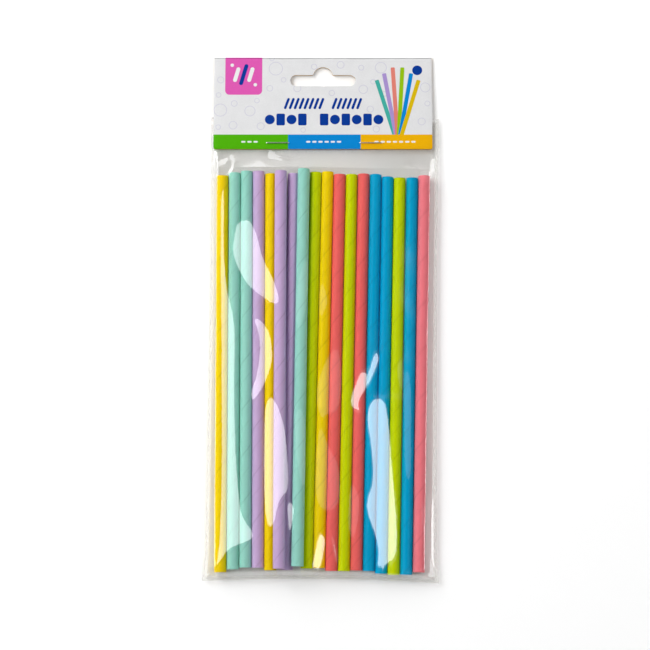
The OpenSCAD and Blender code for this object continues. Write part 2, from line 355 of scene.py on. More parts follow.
class SharedGroups:
    """The node groups that several materials use, each built once.

    Attributes:
        lap: How far one turn of paper laps past its seam, in millimetres.
        block_blur: Half width of a printed block's edge.
        ring_blur: Half width of a printed ring's edges.
    """

    lap = 1.6
    block_blur = 0.05
    ring_blur = 0.06

    def __init__(self) -> None:
        """Builds every group."""
        self.fibre = self._fibre()
        self.seam = self._seam()
        self.block = self._block()
        self.ring = self._ring()

    @staticmethod
    def _fibre() -> bpy.types.NodeTree:
        """Fine grain stretched along one axis, with slow blotches under it.

        Returns:
            A group from Vector, Grain and Stretch to Grain and Blotch, both 0 to 1.
        """
        numbers = ("Grain", "Stretch")
        wiring, taken, given = new_group("paper fibre", numbers, ("Grain", "Blotch"))
        x, y, z = wiring.split(taken["Vector"])
        stretched = wiring.vector(x, wiring.math("MULTIPLY", y, taken["Stretch"]), z)
        wiring.feed(given["Grain"], wiring.noise(stretched, taken["Grain"], 3.0, 0.6))
        wiring.feed(given["Blotch"], wiring.noise(taken["Vector"], 0.16))
        return wiring.tree

    def _seam(self) -> bpy.types.NodeTree:
        """Butt seam of a wound strip of paper, which winds up the straw to the right.

        With f = y / Pitch + x / Turn + Phase and w = f - floor(f), the distance to the seam
        is min(w, 1 - w) * Pitch / sqrt(1 + (Pitch / Turn)^2). The lap takes w by itself.

        Returns:
            A group from Vector, Turn, Pitch, Phase, Width to Line and Lap, both 0 to 1.
        """
        numbers = ("Turn", "Pitch", "Phase", "Width")
        wiring, taken, given = new_group("wound seam", numbers, ("Line", "Lap"))
        x, y, _ = wiring.split(taken["Vector"])
        risen = wiring.math("DIVIDE", y, taken["Pitch"])
        turned = wiring.math("DIVIDE", x, taken["Turn"])
        turns = wiring.math("ADD", wiring.math("ADD", risen, turned), taken["Phase"])
        part = wiring.math("FRACT", turns)
        near = wiring.math("MINIMUM", part, wiring.math("SUBTRACT", 1.0, part))
        slope = wiring.math("DIVIDE", taken["Pitch"], taken["Turn"])
        square = wiring.math("MULTIPLY_ADD", slope, slope, 1.0)
        scale = wiring.math("DIVIDE", taken["Pitch"], wiring.math("SQRT", square))
        for name, share, width in (("Line", near, taken["Width"]), ("Lap", part, self.lap)):
            distance = wiring.math("MULTIPLY", share, scale)
            far = wiring.math("DIVIDE", distance, width)
            wiring.feed(given[name], wiring.math("SUBTRACT", 1.0, far, clamp=True))
        return wiring.tree

    def _block(self) -> bpy.types.NodeTree:
        """Printed block with round corners, turned about its middle.

        With p the place in the block's own axes and q = |p| - half size + radius, the
        distance to its edge is |max(q, 0)| + min(max(q.x, q.y), 0) - radius.

        Returns:
            A group from the block's measures to Ink, 1 inside and 0 outside.
        """
        numbers = ("X", "Y", "Half Width", "Half Height", "Radius", "Turn")
        wiring, taken, given = new_group("printed block", numbers, ("Ink",))
        centre = wiring.vector(taken["X"], taken["Y"])
        rotation = {"Vector": taken["Vector"], "Center": centre, "Angle": taken["Turn"]}
        turned = wiring.node("VectorRotate", rotation, rotation_type="Z_AXIS").outputs[0]
        local = wiring.node("VectorMath", {0: turned, 1: centre}, operation="SUBTRACT").outputs[0]
        x, y, _ = wiring.split(local)
        sides = []
        for offset, half in ((x, taken["Half Width"]), (y, taken["Half Height"])):
            inner = wiring.math("SUBTRACT", half, taken["Radius"])
            sides.append(wiring.math("SUBTRACT", wiring.math("ABSOLUTE", offset), inner))
        inside = wiring.math("MINIMUM", wiring.math("MAXIMUM", *sides), 0.0)
        corner = wiring.vector(*(wiring.math("MAXIMUM", side, 0.0) for side in sides))
        length = wiring.node("VectorMath", {0: corner}, operation="LENGTH").outputs["Value"]
        distance = wiring.math("SUBTRACT", wiring.math("ADD", inside, length), taken["Radius"])
        wiring.feed(given["Ink"], wiring.ramp(distance, self.block_blur, -self.block_blur))
        return wiring.tree

    def _ring(self) -> bpy.types.NodeTree:
        """Printed ring: ink where | |p - centre| - radius | is under half the line's width.

        Returns:
            A group from Vector, X, Y, Radius and Line to Ink.
        """
        numbers = ("X", "Y", "Radius", "Line")
        wiring, taken, given = new_group("printed ring", numbers, ("Ink",))
        centre = wiring.vector(taken["X"], taken["Y"])
        span = wiring.node("VectorMath", {0: taken["Vector"], 1: centre}, operation="DISTANCE")
        past = wiring.math("SUBTRACT", span.outputs["Value"], taken["Radius"])
        half = wiring.math("MULTIPLY", taken["Line"], 0.5)
        distance = wiring.math("SUBTRACT", wiring.math("ABSOLUTE", past), half)
        wiring.feed(given["Ink"], wiring.ramp(distance, self.ring_blur, -self.ring_blur))
        return wiring.tree


def new_material(name: str) -> tuple[bpy.types.Material, Wiring, Socket]:
    """Starts an empty material, and returns it with its wiring and its surface socket."""
    material = bpy.data.materials.new(name)
    material.use_nodes = True
    material.node_tree.nodes.clear()
    wiring = Wiring(material.node_tree)
    return material, wiring, wiring.node("OutputMaterial").inputs["Surface"]


@dataclass(frozen=True)
class Seam:
    """Line where two turns of a straw's outer paper meet.

    Attributes:
        shift: Where it starts past the straw's own start, as a share of a turn.
        width: Half width of the line, in millimetres.
        shade: Share of the darker paper that shows on the line.
        depth: Depth of the line, in millimetres.
    """

    shift: float
    width: float
    shade: float
    depth: float


@dataclass(frozen=True)
class PaperFinish:
    """Uncoated coloured paper, wound into a straw.

    Attributes:
        colour: Colour of the outer ply, linear.
        core: Colour of the cut ends and the bore, linear.
        roughness: Roughness of the paper's surface.
        specular: Strength of its sheen.
        pitch: Rise of the seams in one turn, in millimetres.
        seams: The strong seam and the faint one.
        lap_height: Height of the paper that laps past the strong seam, in millimetres.
        grain_height: Height of the grain, in millimetres.
    """

    colour: Colour
    core: Colour
    roughness: float = 0.32
    specular: float = 0.06
    pitch: float = 23.0
    seams: tuple[Seam, Seam] = (Seam(0.0, 0.34, 0.5, 0.09), Seam(0.43, 0.26, 0.36, 0.04))
    lap_height: float = 0.05
    grain_height: float = 0.012

    def material(
        self, name: str, groups: SharedGroups, turn: float, start: float
    ) -> bpy.types.Material:
        """Builds the paper of one straw.

        Args:
            name: Name of the material.
            groups: The shared node groups.
            turn: Distance round the straw, in millimetres.
            start: Where the strong seam starts, as a share of a turn.

        Returns:
            The material.
        """
        material, wiring, surface = new_material(name)
        uv = wiring.surface_place()
        fibre = wiring.group(groups.fibre, Vector=uv, Grain=2.6, Stretch=0.45)
        grain, blotch = fibre["Grain"], fibre["Blotch"]
        wound = [
            wiring.group(
                groups.seam, Vector=uv, Turn=turn, Pitch=self.pitch, Phase=start + seam.shift,
                Width=seam.width)
            for seam in self.seams
        ]
        dyed = wiring.mix(wiring.ramp(blotch, 0.3, 0.7), shaded(self.colour, 0.95), self.colour)
        dyed = wiring.mix(wiring.ramp(grain, 0.3, 0.75), dyed, shaded(self.colour, 1.05))
        height = wiring.math("MULTIPLY", wound[0]["Lap"], self.lap_height)
        shades = []
        for seam, out in zip(self.seams, wound):
            shades.append(wiring.math("MULTIPLY", out["Line"], seam.shade))
            height = wiring.math("MULTIPLY_ADD", out["Line"], -seam.depth, height)
        dyed = wiring.mix(wiring.math("MAXIMUM", *shades), dyed, shaded(self.colour, 0.55))
        bare = wiring.node("Attribute", attribute_name=CORE_SHARE).outputs["Fac"]
        height = wiring.math("MULTIPLY_ADD", grain, self.grain_height, height)
        rough = wiring.ramp(grain, 0.2, 0.8, self.roughness - 0.06, self.roughness + 0.1)
        colour, normal = wiring.mix(bare, dyed, self.core), wiring.bump(height, 1.0, 0.7)
        shader = wiring.principled(colour, rough, normal, Specular_IOR_Level=self.specular)
        wiring.feed(surface, shader)
        return material


@dataclass(frozen=True)
class FilmFinish:
    """Clear packaging film, which lets most light through and mirrors the lamps.

    Attributes:
        tint: What each face of the film lets through.
        weld_tint: What it lets through along the weld.
        gleam: Colour of the mirror.
        milk: Colour of the light that the weld scatters.
        roughness: Roughness of the mirror.
        ior: Refractive index, raised because only the face that light enters mirrors.
        haze: Share of the weld that scatters light.
        weld_loss: Share of the mirror that the weld loses.
    """

    tint: Colour = (0.992, 0.992, 0.99)
    weld_tint: Colour = (0.985, 0.985, 0.98)
    gleam: Colour = (0.98, 0.99, 1.0)
    milk: Colour = (0.9, 0.9, 0.89)
    roughness: float = 0.1
    ior: float = 1.95
    haze: float = 0.12
    weld_loss: float = 0.75

    def material(self, name: str) -> bpy.types.Material:
        """Builds the film: clear, a little milky at the weld, with a mirror over it."""
        material, wiring, surface = new_material(name)
        weld = wiring.node("Attribute", attribute_name=WELD_SHARE).outputs["Fac"]
        tint = wiring.mix(weld, self.tint, self.weld_tint)
        clear = wiring.node("BsdfTransparent", {"Color": tint}).outputs[0]
        milky = wiring.node("BsdfDiffuse", {"Color": self.milk}).outputs[0]
        haze = wiring.math("MULTIPLY", weld, self.haze)
        body = wiring.node("MixShader", {0: haze, 1: clear, 2: milky}).outputs[0]
        waves = wiring.noise(wiring.node("TexCoord").outputs["Object"], 900.0)
        mirror = wiring.node("BsdfGlossy", {
            "Color": self.gleam, "Roughness": self.roughness,
            "Normal": wiring.bump(waves, 0.006, 0.35)}).outputs[0]
        fresnel = wiring.node("Fresnel", {"IOR": self.ior}).outputs[0]
        kept = wiring.math("MULTIPLY_ADD", weld, -self.weld_loss, 1.0)
        front = wiring.math("SUBTRACT", 1.0, wiring.node("NewGeometry").outputs["Backfacing"])
        share = wiring.math("MULTIPLY", wiring.math("MULTIPLY", fresnel, kept), front)
        mixed = wiring.node("MixShader", {0: share, 1: body, 2: mirror})
        wiring.feed(surface, mixed.outputs[0])
        return material


@dataclass(frozen=True)
class WireFinish:
    """Bright drawn steel wire.

    Attributes:
        colour: Colour of the steel, linear.
        roughness: Roughness of the drawn surface.
        stretch: Scratches a millimetre across the wire, along it and off it.
    """

    colour: Colour = (0.82, 0.82, 0.80)
    roughness: float = 0.24
    stretch: tuple[float, float, float] = (14.0, 0.8, 1.0)

    def material(self, name: str) -> bpy.types.Material:
        """Builds the steel, with fine scratches along the wire."""
        material, wiring, surface = new_material(name)
        spread = {"Vector": wiring.surface_place(), "Scale": self.stretch}
        scratch = wiring.noise(wiring.node("Mapping", spread).outputs[0], 2.0, 3.0, 0.6)
        rough = wiring.ramp(scratch, 0.2, 0.8, self.roughness - 0.06, self.roughness + 0.14)
        normal = wiring.bump(scratch, 0.02, 0.3)
        wiring.feed(surface, wiring.principled(self.colour, rough, normal, Metallic=1.0))
        return material


# The pack's own plane


@dataclass(frozen=True)
class PackLayout:
    """Where the card and the bag lie, in millimetres, repeated from the part's source.

    Attributes:
        card_top_y: Height of the card's fold.
        card_edge_y: Height of the card's lower edge.
        lean: Lean of the bag under the card, in radians.
        card_tilt: Tilt of the card, in radians.
        card_height: Height of the folded card.
        card_thick: Thickness of the folded card.
        staple_rise: Distance from the card's lower edge up to the staple line.
        half: Half width of the bag at its corners.
        foot: Bottom corners of the bag, below the staple line.
        mouth: Mouth of the bag, above the staple line.
        weld: Width of the weld.
        waist: How far the side edges pull in.
        waist_top: Share of the bag's height over which they stay in.
        corner_reach: Distance above the bottom corners at which they are fully in.
        bow: How far the bottom edge bows up.
        film: Thickness of the film.
    """

    card_top_y: float
    card_edge_y: float
    lean: float = math.radians(0.57)
    card_tilt: float = math.radians(2.0)
    card_height: float = 48.5
    card_thick: float = 1.1
    staple_rise: float = 3.2
    half: float = 57.52
    foot: float = -219.0
    mouth: float = 13.3
    weld: float = 1.2
    waist: float = 1.1
    waist_top: float = 0.6
    corner_reach: float = 12.0
    bow: float = 1.5
    film: float = 0.05

    @staticmethod
    def of_frame() -> PackLayout:
        """Reads the card's place from the frame."""
        low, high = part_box("header_card")
        return PackLayout(high.y / MM, low.y / MM)

    @property
    def staple_drop(self) -> float:
        """Distance from the card's fold down to the staple line."""
        return self.card_height - self.staple_rise

    @property
    def staple_y(self) -> float:
        """Height of the staple line in the pack."""
        return self.card_top_y - self.staple_drop * math.cos(self.card_tilt)

    @property
    def mid_x(self) -> float:
        """Where the bag's axis crosses the staple line, with its middle at X = 0."""
        return -(self.foot + self.mouth) / 2 * math.sin(self.lean)

    def world(self, u: Array, v: Array) -> Pair:
        """Turns places in the bag's plane into X and Y."""
        cosine, sine = math.cos(self.lean), math.sin(self.lean)
        return self.mid_x + u * cosine + v * sine, self.staple_y - u * sine + v * cosine

    def across(self, x: Array, y: Array) -> Pair:
        """Turns X and Y into places in the bag's plane."""
        cosine, sine = math.cos(self.lean), math.sin(self.lean)
        east, north = x - self.mid_x, y - self.staple_y
        return east * cosine - north * sine, east * sine + north * cosine

    def on_card(self, points: Array) -> Array:
        """Tilts places on the card about its fold and moves them to their place in the pack."""
        cosine, sine = math.cos(self.card_tilt), math.sin(self.card_tilt)
        x, y, z = points[..., 0], points[..., 1], points[..., 2]
        moved = (x, self.card_top_y + y * cosine + z * sine, z * cosine - y * sine)
        return np.stack(moved, axis=-1)

    def half_at(self, v: Array) -> Array:
        """Half width of the bag at each v: full at the corners, pulled in between them."""
        waist_top = self.foot + self.waist_top * (self.mouth - self.foot)
        knots = [self.foot + self.weld, self.foot + self.corner_reach, waist_top, self.mouth]
        slim = self.half - self.waist
        return np.interp(v, knots, [self.half, slim, slim, self.half])

    def bottom(self, u: Array) -> Array:
        """Bottom edge at each u: foot + bow * (1 - (u / inner half width)^2)."""
        return self.foot + self.bow * (1 - (u / (self.half - self.weld)) ** 2)

    def seam_height(self, y: Array) -> Array:
        """Height of the middle plane between the card's panels, kept to below the card."""
        drop = self.card_top_y - np.maximum(y, self.card_edge_y)
        return drop * math.tan(self.card_tilt) + self.card_thick / 2 / math.cos(self.card_tilt)


# Straws


@dataclass
class Straw:
    """A paper tube on the axis of its CAD node, in millimetres.

    Attributes:
        number: Which straw, from 1 at the left.
        start: Foot end of the axis.
        along: Unit vector towards the header.
        length: Length of the straw.
        radius: Outer radius.
        wound: Where the strong seam starts, as a share of a turn.
        wall: Thickness of the paper.
        rim: Radius of the soft edge at the cut.
        groove: Depth and half width of the groove along the strong seam.
        oval: How far the tube is from round.
        rim_core: Share of bare core where a rim starts.
        segments: Faces round the tube.
        rings: Rings along the outer wall.
        bore_rings: Rings along the bore.
    """

    number: int
    start: Array
    along: Array
    length: float
    radius: float
    wound: float
    wall: float = 0.4
    rim: float = 0.07
    groove: tuple[float, float] = (0.035, 0.45)
    oval: float = 0.012
    rim_core: float = 0.4
    segments: int = 40
    rings: int = 400
    bore_rings: int = 12

    @staticmethod
    def of_node(number: int, node: bpy.types.Object) -> Straw:
        """Reads a straw's axis, length and radius from its CAD node.

        The axis is first the main direction of the node's points, and then the line through
        the middles of their two end rings. Each straw's seam starts another 0.3819 of a turn
        on, which spreads the starts evenly.

        Args:
            number: Which straw.
            node: The CAD node, a tube of loose triangles.

        Returns:
            The straw.
        """
        points = np.zeros(len(node.data.vertices) * 3, np.float32)
        node.data.vertices.foreach_get("co", points)
        points = np.unique(np.round(points.reshape(-1, 3) / MM, 4).astype(float), axis=0)
        centre = (points.min(axis=0) + points.max(axis=0)) / 2
        along = np.linalg.svd(points - points.mean(axis=0), full_matrices=False)[2][0]
        along = along if along[1] > 0 else -along
        reach, end = (points - centre) @ along, 0.01
        top = points[reach > reach.max() - end].mean(axis=0)
        foot = points[reach < reach.min() + end].mean(axis=0)
        length = float(np.linalg.norm(top - foot))
        axis = (top - foot) / length
        off = points - foot - np.outer((points - foot) @ axis, axis)
        radius = float(np.linalg.norm(off, axis=1).max())
        return Straw(number, foot, axis, length, radius, (number * 0.3819 + 0.17) % 1.0)

    @property
    def name(self) -> str:
        """Name of the straw's CAD node."""
        return f"straw_{self.number:02d}"

    @property
    def end(self) -> Array:
        """Header end of the axis."""
        return self.start + self.length * self.along

    @property
    def turn(self) -> float:
        """Distance once round the straw."""
        return 2 * math.pi * self.radius

    def _profile(self) -> tuple[Array, Array, Array]:
        """Section of the wall as one closed loop: outer wall up, rim, bore down, rim.

        Returns:
            Radius, height and the share of bare core at each point of the loop.
        """
        rim, outer, bore, top = self.rim, self.radius, self.radius - self.wall, self.length
        up = np.linspace(rim, top - rim, self.rings)
        down = np.linspace(top - rim * 2, rim * 2, self.bore_rings)
        turn = np.radians([30, 60, 90])
        outer_rim = arc(outer - rim, top - rim, rim, turn)
        inner_rim = arc(bore + rim, top - rim, rim, turn + np.pi / 2)
        rims = np.vstack([outer_rim, inner_rim])
        loop = np.vstack([
            line(outer, up), rims, line(bore, down), (rims * [1, -1] + [0, top])[::-1]])
        core = np.ones(len(loop))
        core[: len(up)] = 0
        core[len(up)] = core[-1] = self.rim_core
        return loop[:, 0], loop[:, 1], core

    def shell(self) -> tuple[Shell, Array]:
        """Carries the wall's section round the axis.

        A point is start + height * along + r * (cos a * side + sin a * up), where the outer
        wall's r also falls in a shallow groove that winds round the tube with the seam.

        Returns:
            The tube and the share of bare core at each vertex.
        """
        radius, height, core = self._profile()
        angle = np.linspace(0, 2 * np.pi, self.segments, endpoint=False)
        side = np.cross(self.along, [0.0, 0.0, 1.0])
        side /= np.linalg.norm(side)
        up = np.cross(side, self.along)
        pitch, (depth, width) = PaperFinish.pitch, self.groove
        turns = height[:, None] / pitch + angle[None, :] / (2 * np.pi) + self.wound
        near = np.abs(turns - np.round(turns)) * pitch / math.hypot(1, pitch / self.turn)
        sunk = depth * np.exp(-((near / width) ** 2))
        sunk = sunk + self.oval * (1 + np.cos(2 * angle + self.number))[None, :]
        reach = radius[:, None] - sunk * (1 - core[:, None])
        ring = np.cos(angle)[:, None] * side + np.sin(angle)[:, None] * up
        axis = self.start + height[:, None, None] * self.along
        points = axis + reach[:, :, None] * ring[None, :, :]
        around = np.linspace(0, self.turn, self.segments + 1)
        uv = np.stack(np.meshgrid(around, np.append(height, height[0])), axis=-1)
        shell = Shell.of_grid(points, uv, wrap_rows=True, wrap_columns=True)
        return shell, np.repeat(core, self.segments)

    def build(self, groups: SharedGroups) -> bpy.types.Object:
        """Makes the straw's piece, dressed in its paper."""
        shell, core = self.shell()
        slot = STRAW_PAPERS[self.number - 1]
        paper = f"{slot.value.replace('_', ' ')} {self.number}"
        piece = shell.piece(f"paper_{self.name}", {CORE_SHARE: core})
        piece.data.materials.append(PAPERS[slot].material(paper, groups, self.turn, self.wound))
        return place(piece, slot, self.name)


PAPERS = {
    Slot.LEMON: PaperFinish(from_srgb(244, 211, 6), from_srgb(245, 228, 120)),
    Slot.MINT: PaperFinish(from_srgb(155, 218, 203), from_srgb(200, 232, 224)),
    Slot.LILAC: PaperFinish(from_srgb(203, 173, 216), from_srgb(222, 206, 230)),
    Slot.LIME: PaperFinish(from_srgb(203, 220, 0), from_srgb(224, 234, 120)),
    Slot.CORAL: PaperFinish(from_srgb(243, 104, 102), from_srgb(242, 170, 168)),
    Slot.SKY: PaperFinish(from_srgb(0, 164, 211), from_srgb(130, 206, 232)),
    Slot.ROSE: PaperFinish(from_srgb(247, 130, 140), from_srgb(246, 186, 192)),
}
STRAW_PAPERS = [
    Slot.LEMON, Slot.MINT, Slot.MINT, Slot.LILAC, Slot.LEMON, Slot.LILAC, Slot.LILAC,
    Slot.MINT, Slot.LIME, Slot.LEMON, Slot.CORAL, Slot.LIME, Slot.CORAL, Slot.SKY, Slot.SKY,
    Slot.LIME, Slot.SKY, Slot.ROSE,
]


# Camera and lamps


@dataclass(frozen=True)
class View:
    """Camera above the pack, leaning towards its foot.

    Attributes:
        target: Point on the floor that the camera looks at, in millimetres.
        distance: Distance from it.
        tilt: Lean from straight above, in radians.
        lens: Focal length.
        sensor: Width of the sensor.
    """

    target: tuple[float, float, float] = (1.05, -5.35, 0.0)
    distance: float = 809.8
    tilt: float = math.radians(8.4)
    lens: float = 90.0
    sensor: float = 36.0

    @property
    def eye(self) -> Array:
        """Place of the camera, in millimetres."""
        back = np.array([0.0, -math.sin(self.tilt), math.cos(self.tilt)])
        return np.array(self.target) + self.distance * back

    def build(self) -> None:
        """Makes the camera and gives it to the scene."""
        data = bpy.data.cameras.new("camera")
        data.lens, data.sensor_width = self.lens, self.sensor
        data.clip_start, data.clip_end = 0.05, 20.0
        camera = bpy.data.objects.new("camera", data)
        camera.location = Vector(self.eye * MM)
        camera.rotation_euler = (self.tilt, 0.0, 0.0)
        bpy.context.scene.collection.objects.link(camera)
        bpy.context.scene.camera = camera


@dataclass(frozen=True)
class Softbox:
    """Area lamp, placed by the tilt at which film at the origin mirrors it into the camera.

    Attributes:
        name: Name of the lamp.
        tilt_x: Tilt of the mirror's normal towards +X, in degrees.
        tilt_y: Tilt of the mirror's normal towards +Y, in degrees.
        distance: Distance from the pack's middle, in millimetres.
        width: Width of the lamp across the pack.
        height: Height of the lamp along the pack.
        radiance: Brightness of its face, where 1 is white.
        aim: Added to tilt_x for the film that is meant to mirror it.
    """

    name: str
    tilt_x: float
    tilt_y: float
    distance: float
    width: float
    height: float
    radiance: float
    aim: float = 0.0

    def direction(self, eye: Array, aim: float = 0.0) -> Array:
        """Unit vector to the lamp: 2 (h . v) h - v, with h the mirror's normal."""
        tilt_x, tilt_y = math.radians(self.tilt_x + aim), math.radians(self.tilt_y)
        normal = np.array([math.tan(tilt_x), math.tan(tilt_y), 1.0])
        normal /= np.linalg.norm(normal)
        sight = eye / np.linalg.norm(eye)
        return 2 * (normal @ sight) * normal - sight

    def slopes(self, points: Array, eye: Array) -> Pair:
        """Slopes along X and Y at which film mirrors the lamp into the camera.

        With h = l / |l| + v / |v| for the lines l and v to the lamp and the camera, the
        slopes are -h.x / h.z and -h.y / h.z.

        Args:
            points: Places on the film.
            eye: Place of the camera.

        Returns:
            The two slopes at each place.
        """
        half = np.zeros_like(points)
        for far in (self.direction(eye, self.aim) * self.distance, eye):
            sight = far - points
            half += sight / np.linalg.norm(sight, axis=-1, keepdims=True)
        return -half[..., 0] / half[..., 2], -half[..., 1] / half[..., 2]

    def build(self, eye: Array) -> None:
        """Makes the lamp, facing the pack's middle with its long side along the pack.

        Its power in watts is radiance * pi * area, so that its face has that radiance.
        """
        data = bpy.data.lights.new(self.name, "AREA")
        data.shape = "RECTANGLE"
        data.size, data.size_y = self.width * MM, self.height * MM
        data.energy = self.radiance * math.pi * data.size * data.size_y
        lamp = bpy.data.objects.new(self.name, data)
        away = self.direction(eye)
        right = np.cross([0.0, 1.0, 0.0], away)
        right /= np.linalg.norm(right)
        turn = Matrix(np.stack([right, np.cross(away, right), away], axis=1).tolist())
        lamp.matrix_world = Matrix.Translation(away * self.distance * MM) @ turn.to_4x4()
        bpy.context.scene.collection.objects.link(lamp)


class Lamp(Enum):
    """The studio's lamps. No part of the film is set to mirror the last one."""

    LEFT = Softbox("left_box", -22.0, 1.0, 1500.0, 960.0, 1500.0, 3.45, 3.5)
    RIGHT = Softbox("right_box", 17.5, -4.0, 1500.0, 420.0, 950.0, 4.6)
    HEAD = Softbox("head_box", -19.0, 24.0, 1800.0, 560.0, 1700.0, 2.2)
    DIM = Softbox("dim_board", 11.0, -2.0, 1500.0, 300.0, 1200.0, 0.5)
    KEY = Softbox("key_box", -20.0, 15.5, 1800.0, 800.0, 800.0, 4.2)


@dataclass(frozen=True)
class Studio:
    """Floor, sky and lamps.

    Attributes:
        floor_side: Side of the square floor, in metres.
        floor_drop: Distance from the pack's underside down to the floor, in millimetres.
        floor_colour: Colour of the floor, linear.
        floor_lift: Light that the floor adds for the camera, so that it shows white.
        zenith: Brightness of the sky straight above.
        horizon: Brightness of the sky at eye level.
        fade: Heights between which the sky fades from one to the other, where 1 is the zenith.
        window: Share by which the sky is brighter on the side beyond the header card.
    """

    floor_side: float = 12.0
    floor_drop: float = 0.05
    floor_colour: Colour = (0.94, 0.94, 0.94)
    floor_lift: float = 0.08
    zenith: float = 0.0
    horizon: float = 0.7
    fade: tuple[float, float] = (0.25, 0.75)
    window: float = 0.8

    def build(self, view: View) -> None:
        """Makes the floor, the sky and the lamps."""
        bpy.context.scene.view_settings.view_transform = "Standard"
        self._floor()
        self._sky()
        for lamp in Lamp:
            lamp.value.build(view.eye)

    def _floor(self) -> None:
        """Makes a level floor just under the bag, white to the camera but for shadows."""
        half = self.floor_side / 2 / MM
        corners = np.array([[[-half, -half], [-half, half]], [[half, -half], [half, half]]])
        points = np.concatenate([corners, np.full((2, 2, 1), -self.floor_drop)], axis=-1)
        floor = Shell.of_grid(points, corners).piece("floor")
        material, wiring, surface = new_material("pale floor")
        path = wiring.node("LightPath").outputs
        seen = wiring.math("MAXIMUM", path["Is Camera Ray"], path["Is Glossy Ray"])
        seen = wiring.math("MAXIMUM", seen, path["Is Transmission Ray"])
        strength = wiring.math("MULTIPLY", seen, self.floor_lift)
        matte = wiring.node("BsdfDiffuse", {"Color": self.floor_colour})
        glow = wiring.node("Emission", {"Color": (1.0, 1.0, 1.0), "Strength": strength})
        both = wiring.node("AddShader", {0: matte.outputs[0], 1: glow.outputs[0]})
        wiring.feed(surface, both.outputs[0])
        floor.data.materials.append(material)

    def _sky(self) -> None:
        """Lights the scene from a sky that is dark above and pale at eye level."""
        world = bpy.data.worlds.new("studio")
        world.use_nodes = True
        world.node_tree.nodes.clear()
        wiring = Wiring(world.node_tree)
        _, north, up = wiring.split(wiring.node("TexCoord").outputs["Generated"])
        height = wiring.math("ABSOLUTE", up)
        bright = wiring.ramp(height, *self.fade, self.horizon, self.zenith)
        near_window = wiring.math("MAXIMUM", north, 0.0)
        more = wiring.math("MULTIPLY_ADD", near_window, self.window, 1.0)
        bright = wiring.math("MULTIPLY", bright, more)
        seen = wiring.node("LightPath").outputs["Is Camera Ray"]
        strength = wiring.node("Mix", data_type="FLOAT")
        for number, value in ((0, seen), (2, bright), (3, 1.0)):
            wiring.feed(strength.inputs[number], value)
        sky = wiring.node("Background", {"Color": (1.0, 1.0, 1.0), "Strength": strength.outputs[0]})
        wiring.feed(wiring.node("OutputWorld").inputs["Surface"], sky.outputs[0])
        bpy.context.scene.world = world


# Film


@dataclass(frozen=True)
class Facet:
    """Part of the front film that leans so as to mirror one lamp.

    Attributes:
        name: What it looks like.
        lamp: The lamp.
        outline: Corners of the part, as X and Y in millimetres, rounded off when drawn.
    """

    name: str
    lamp: Lamp
    outline: tuple[tuple[float, float], ...]

    def rounded(self) -> Array:
        """Cuts each corner at a quarter of both its sides, twice over."""
        corners = np.array(self.outline, dtype=float)
        for _ in range(2):
            after = np.roll(corners, -1, axis=0)
            cut = (0.75 * corners + 0.25 * after, 0.25 * corners + 0.75 * after)
            corners = np.stack(cut, axis=1).reshape(-1, 2)
        return corners

    def inside(self, x: Array, y: Array) -> Array:
        """Signed distance to the outline, above 0 inside.

        The distance is the least |p - a - t (b - a)| over the sides, and a place is inside
        if a ray along X crosses an odd number of sides.
        """
        near = np.full(x.shape, np.inf)
        odd = np.zeros(x.shape, dtype=bool)
        corners = self.rounded()
        for (ax, ay), (bx, by) in zip(corners, np.roll(corners, -1, axis=0)):
            side = (bx - ax, by - ay)
            share = ((x - ax) * side[0] + (y - ay) * side[1]) / (side[0] ** 2 + side[1] ** 2)
            share = np.clip(share, 0, 1)
            near = np.minimum(near, np.hypot(x - ax - share * side[0], y - ay - share * side[1]))
            if by != ay:
                crossing = ax + (y - ay) * side[0] / side[1]
                odd ^= ((ay > y) != (by > y)) & (x < crossing)
        return np.where(odd, near, -near)
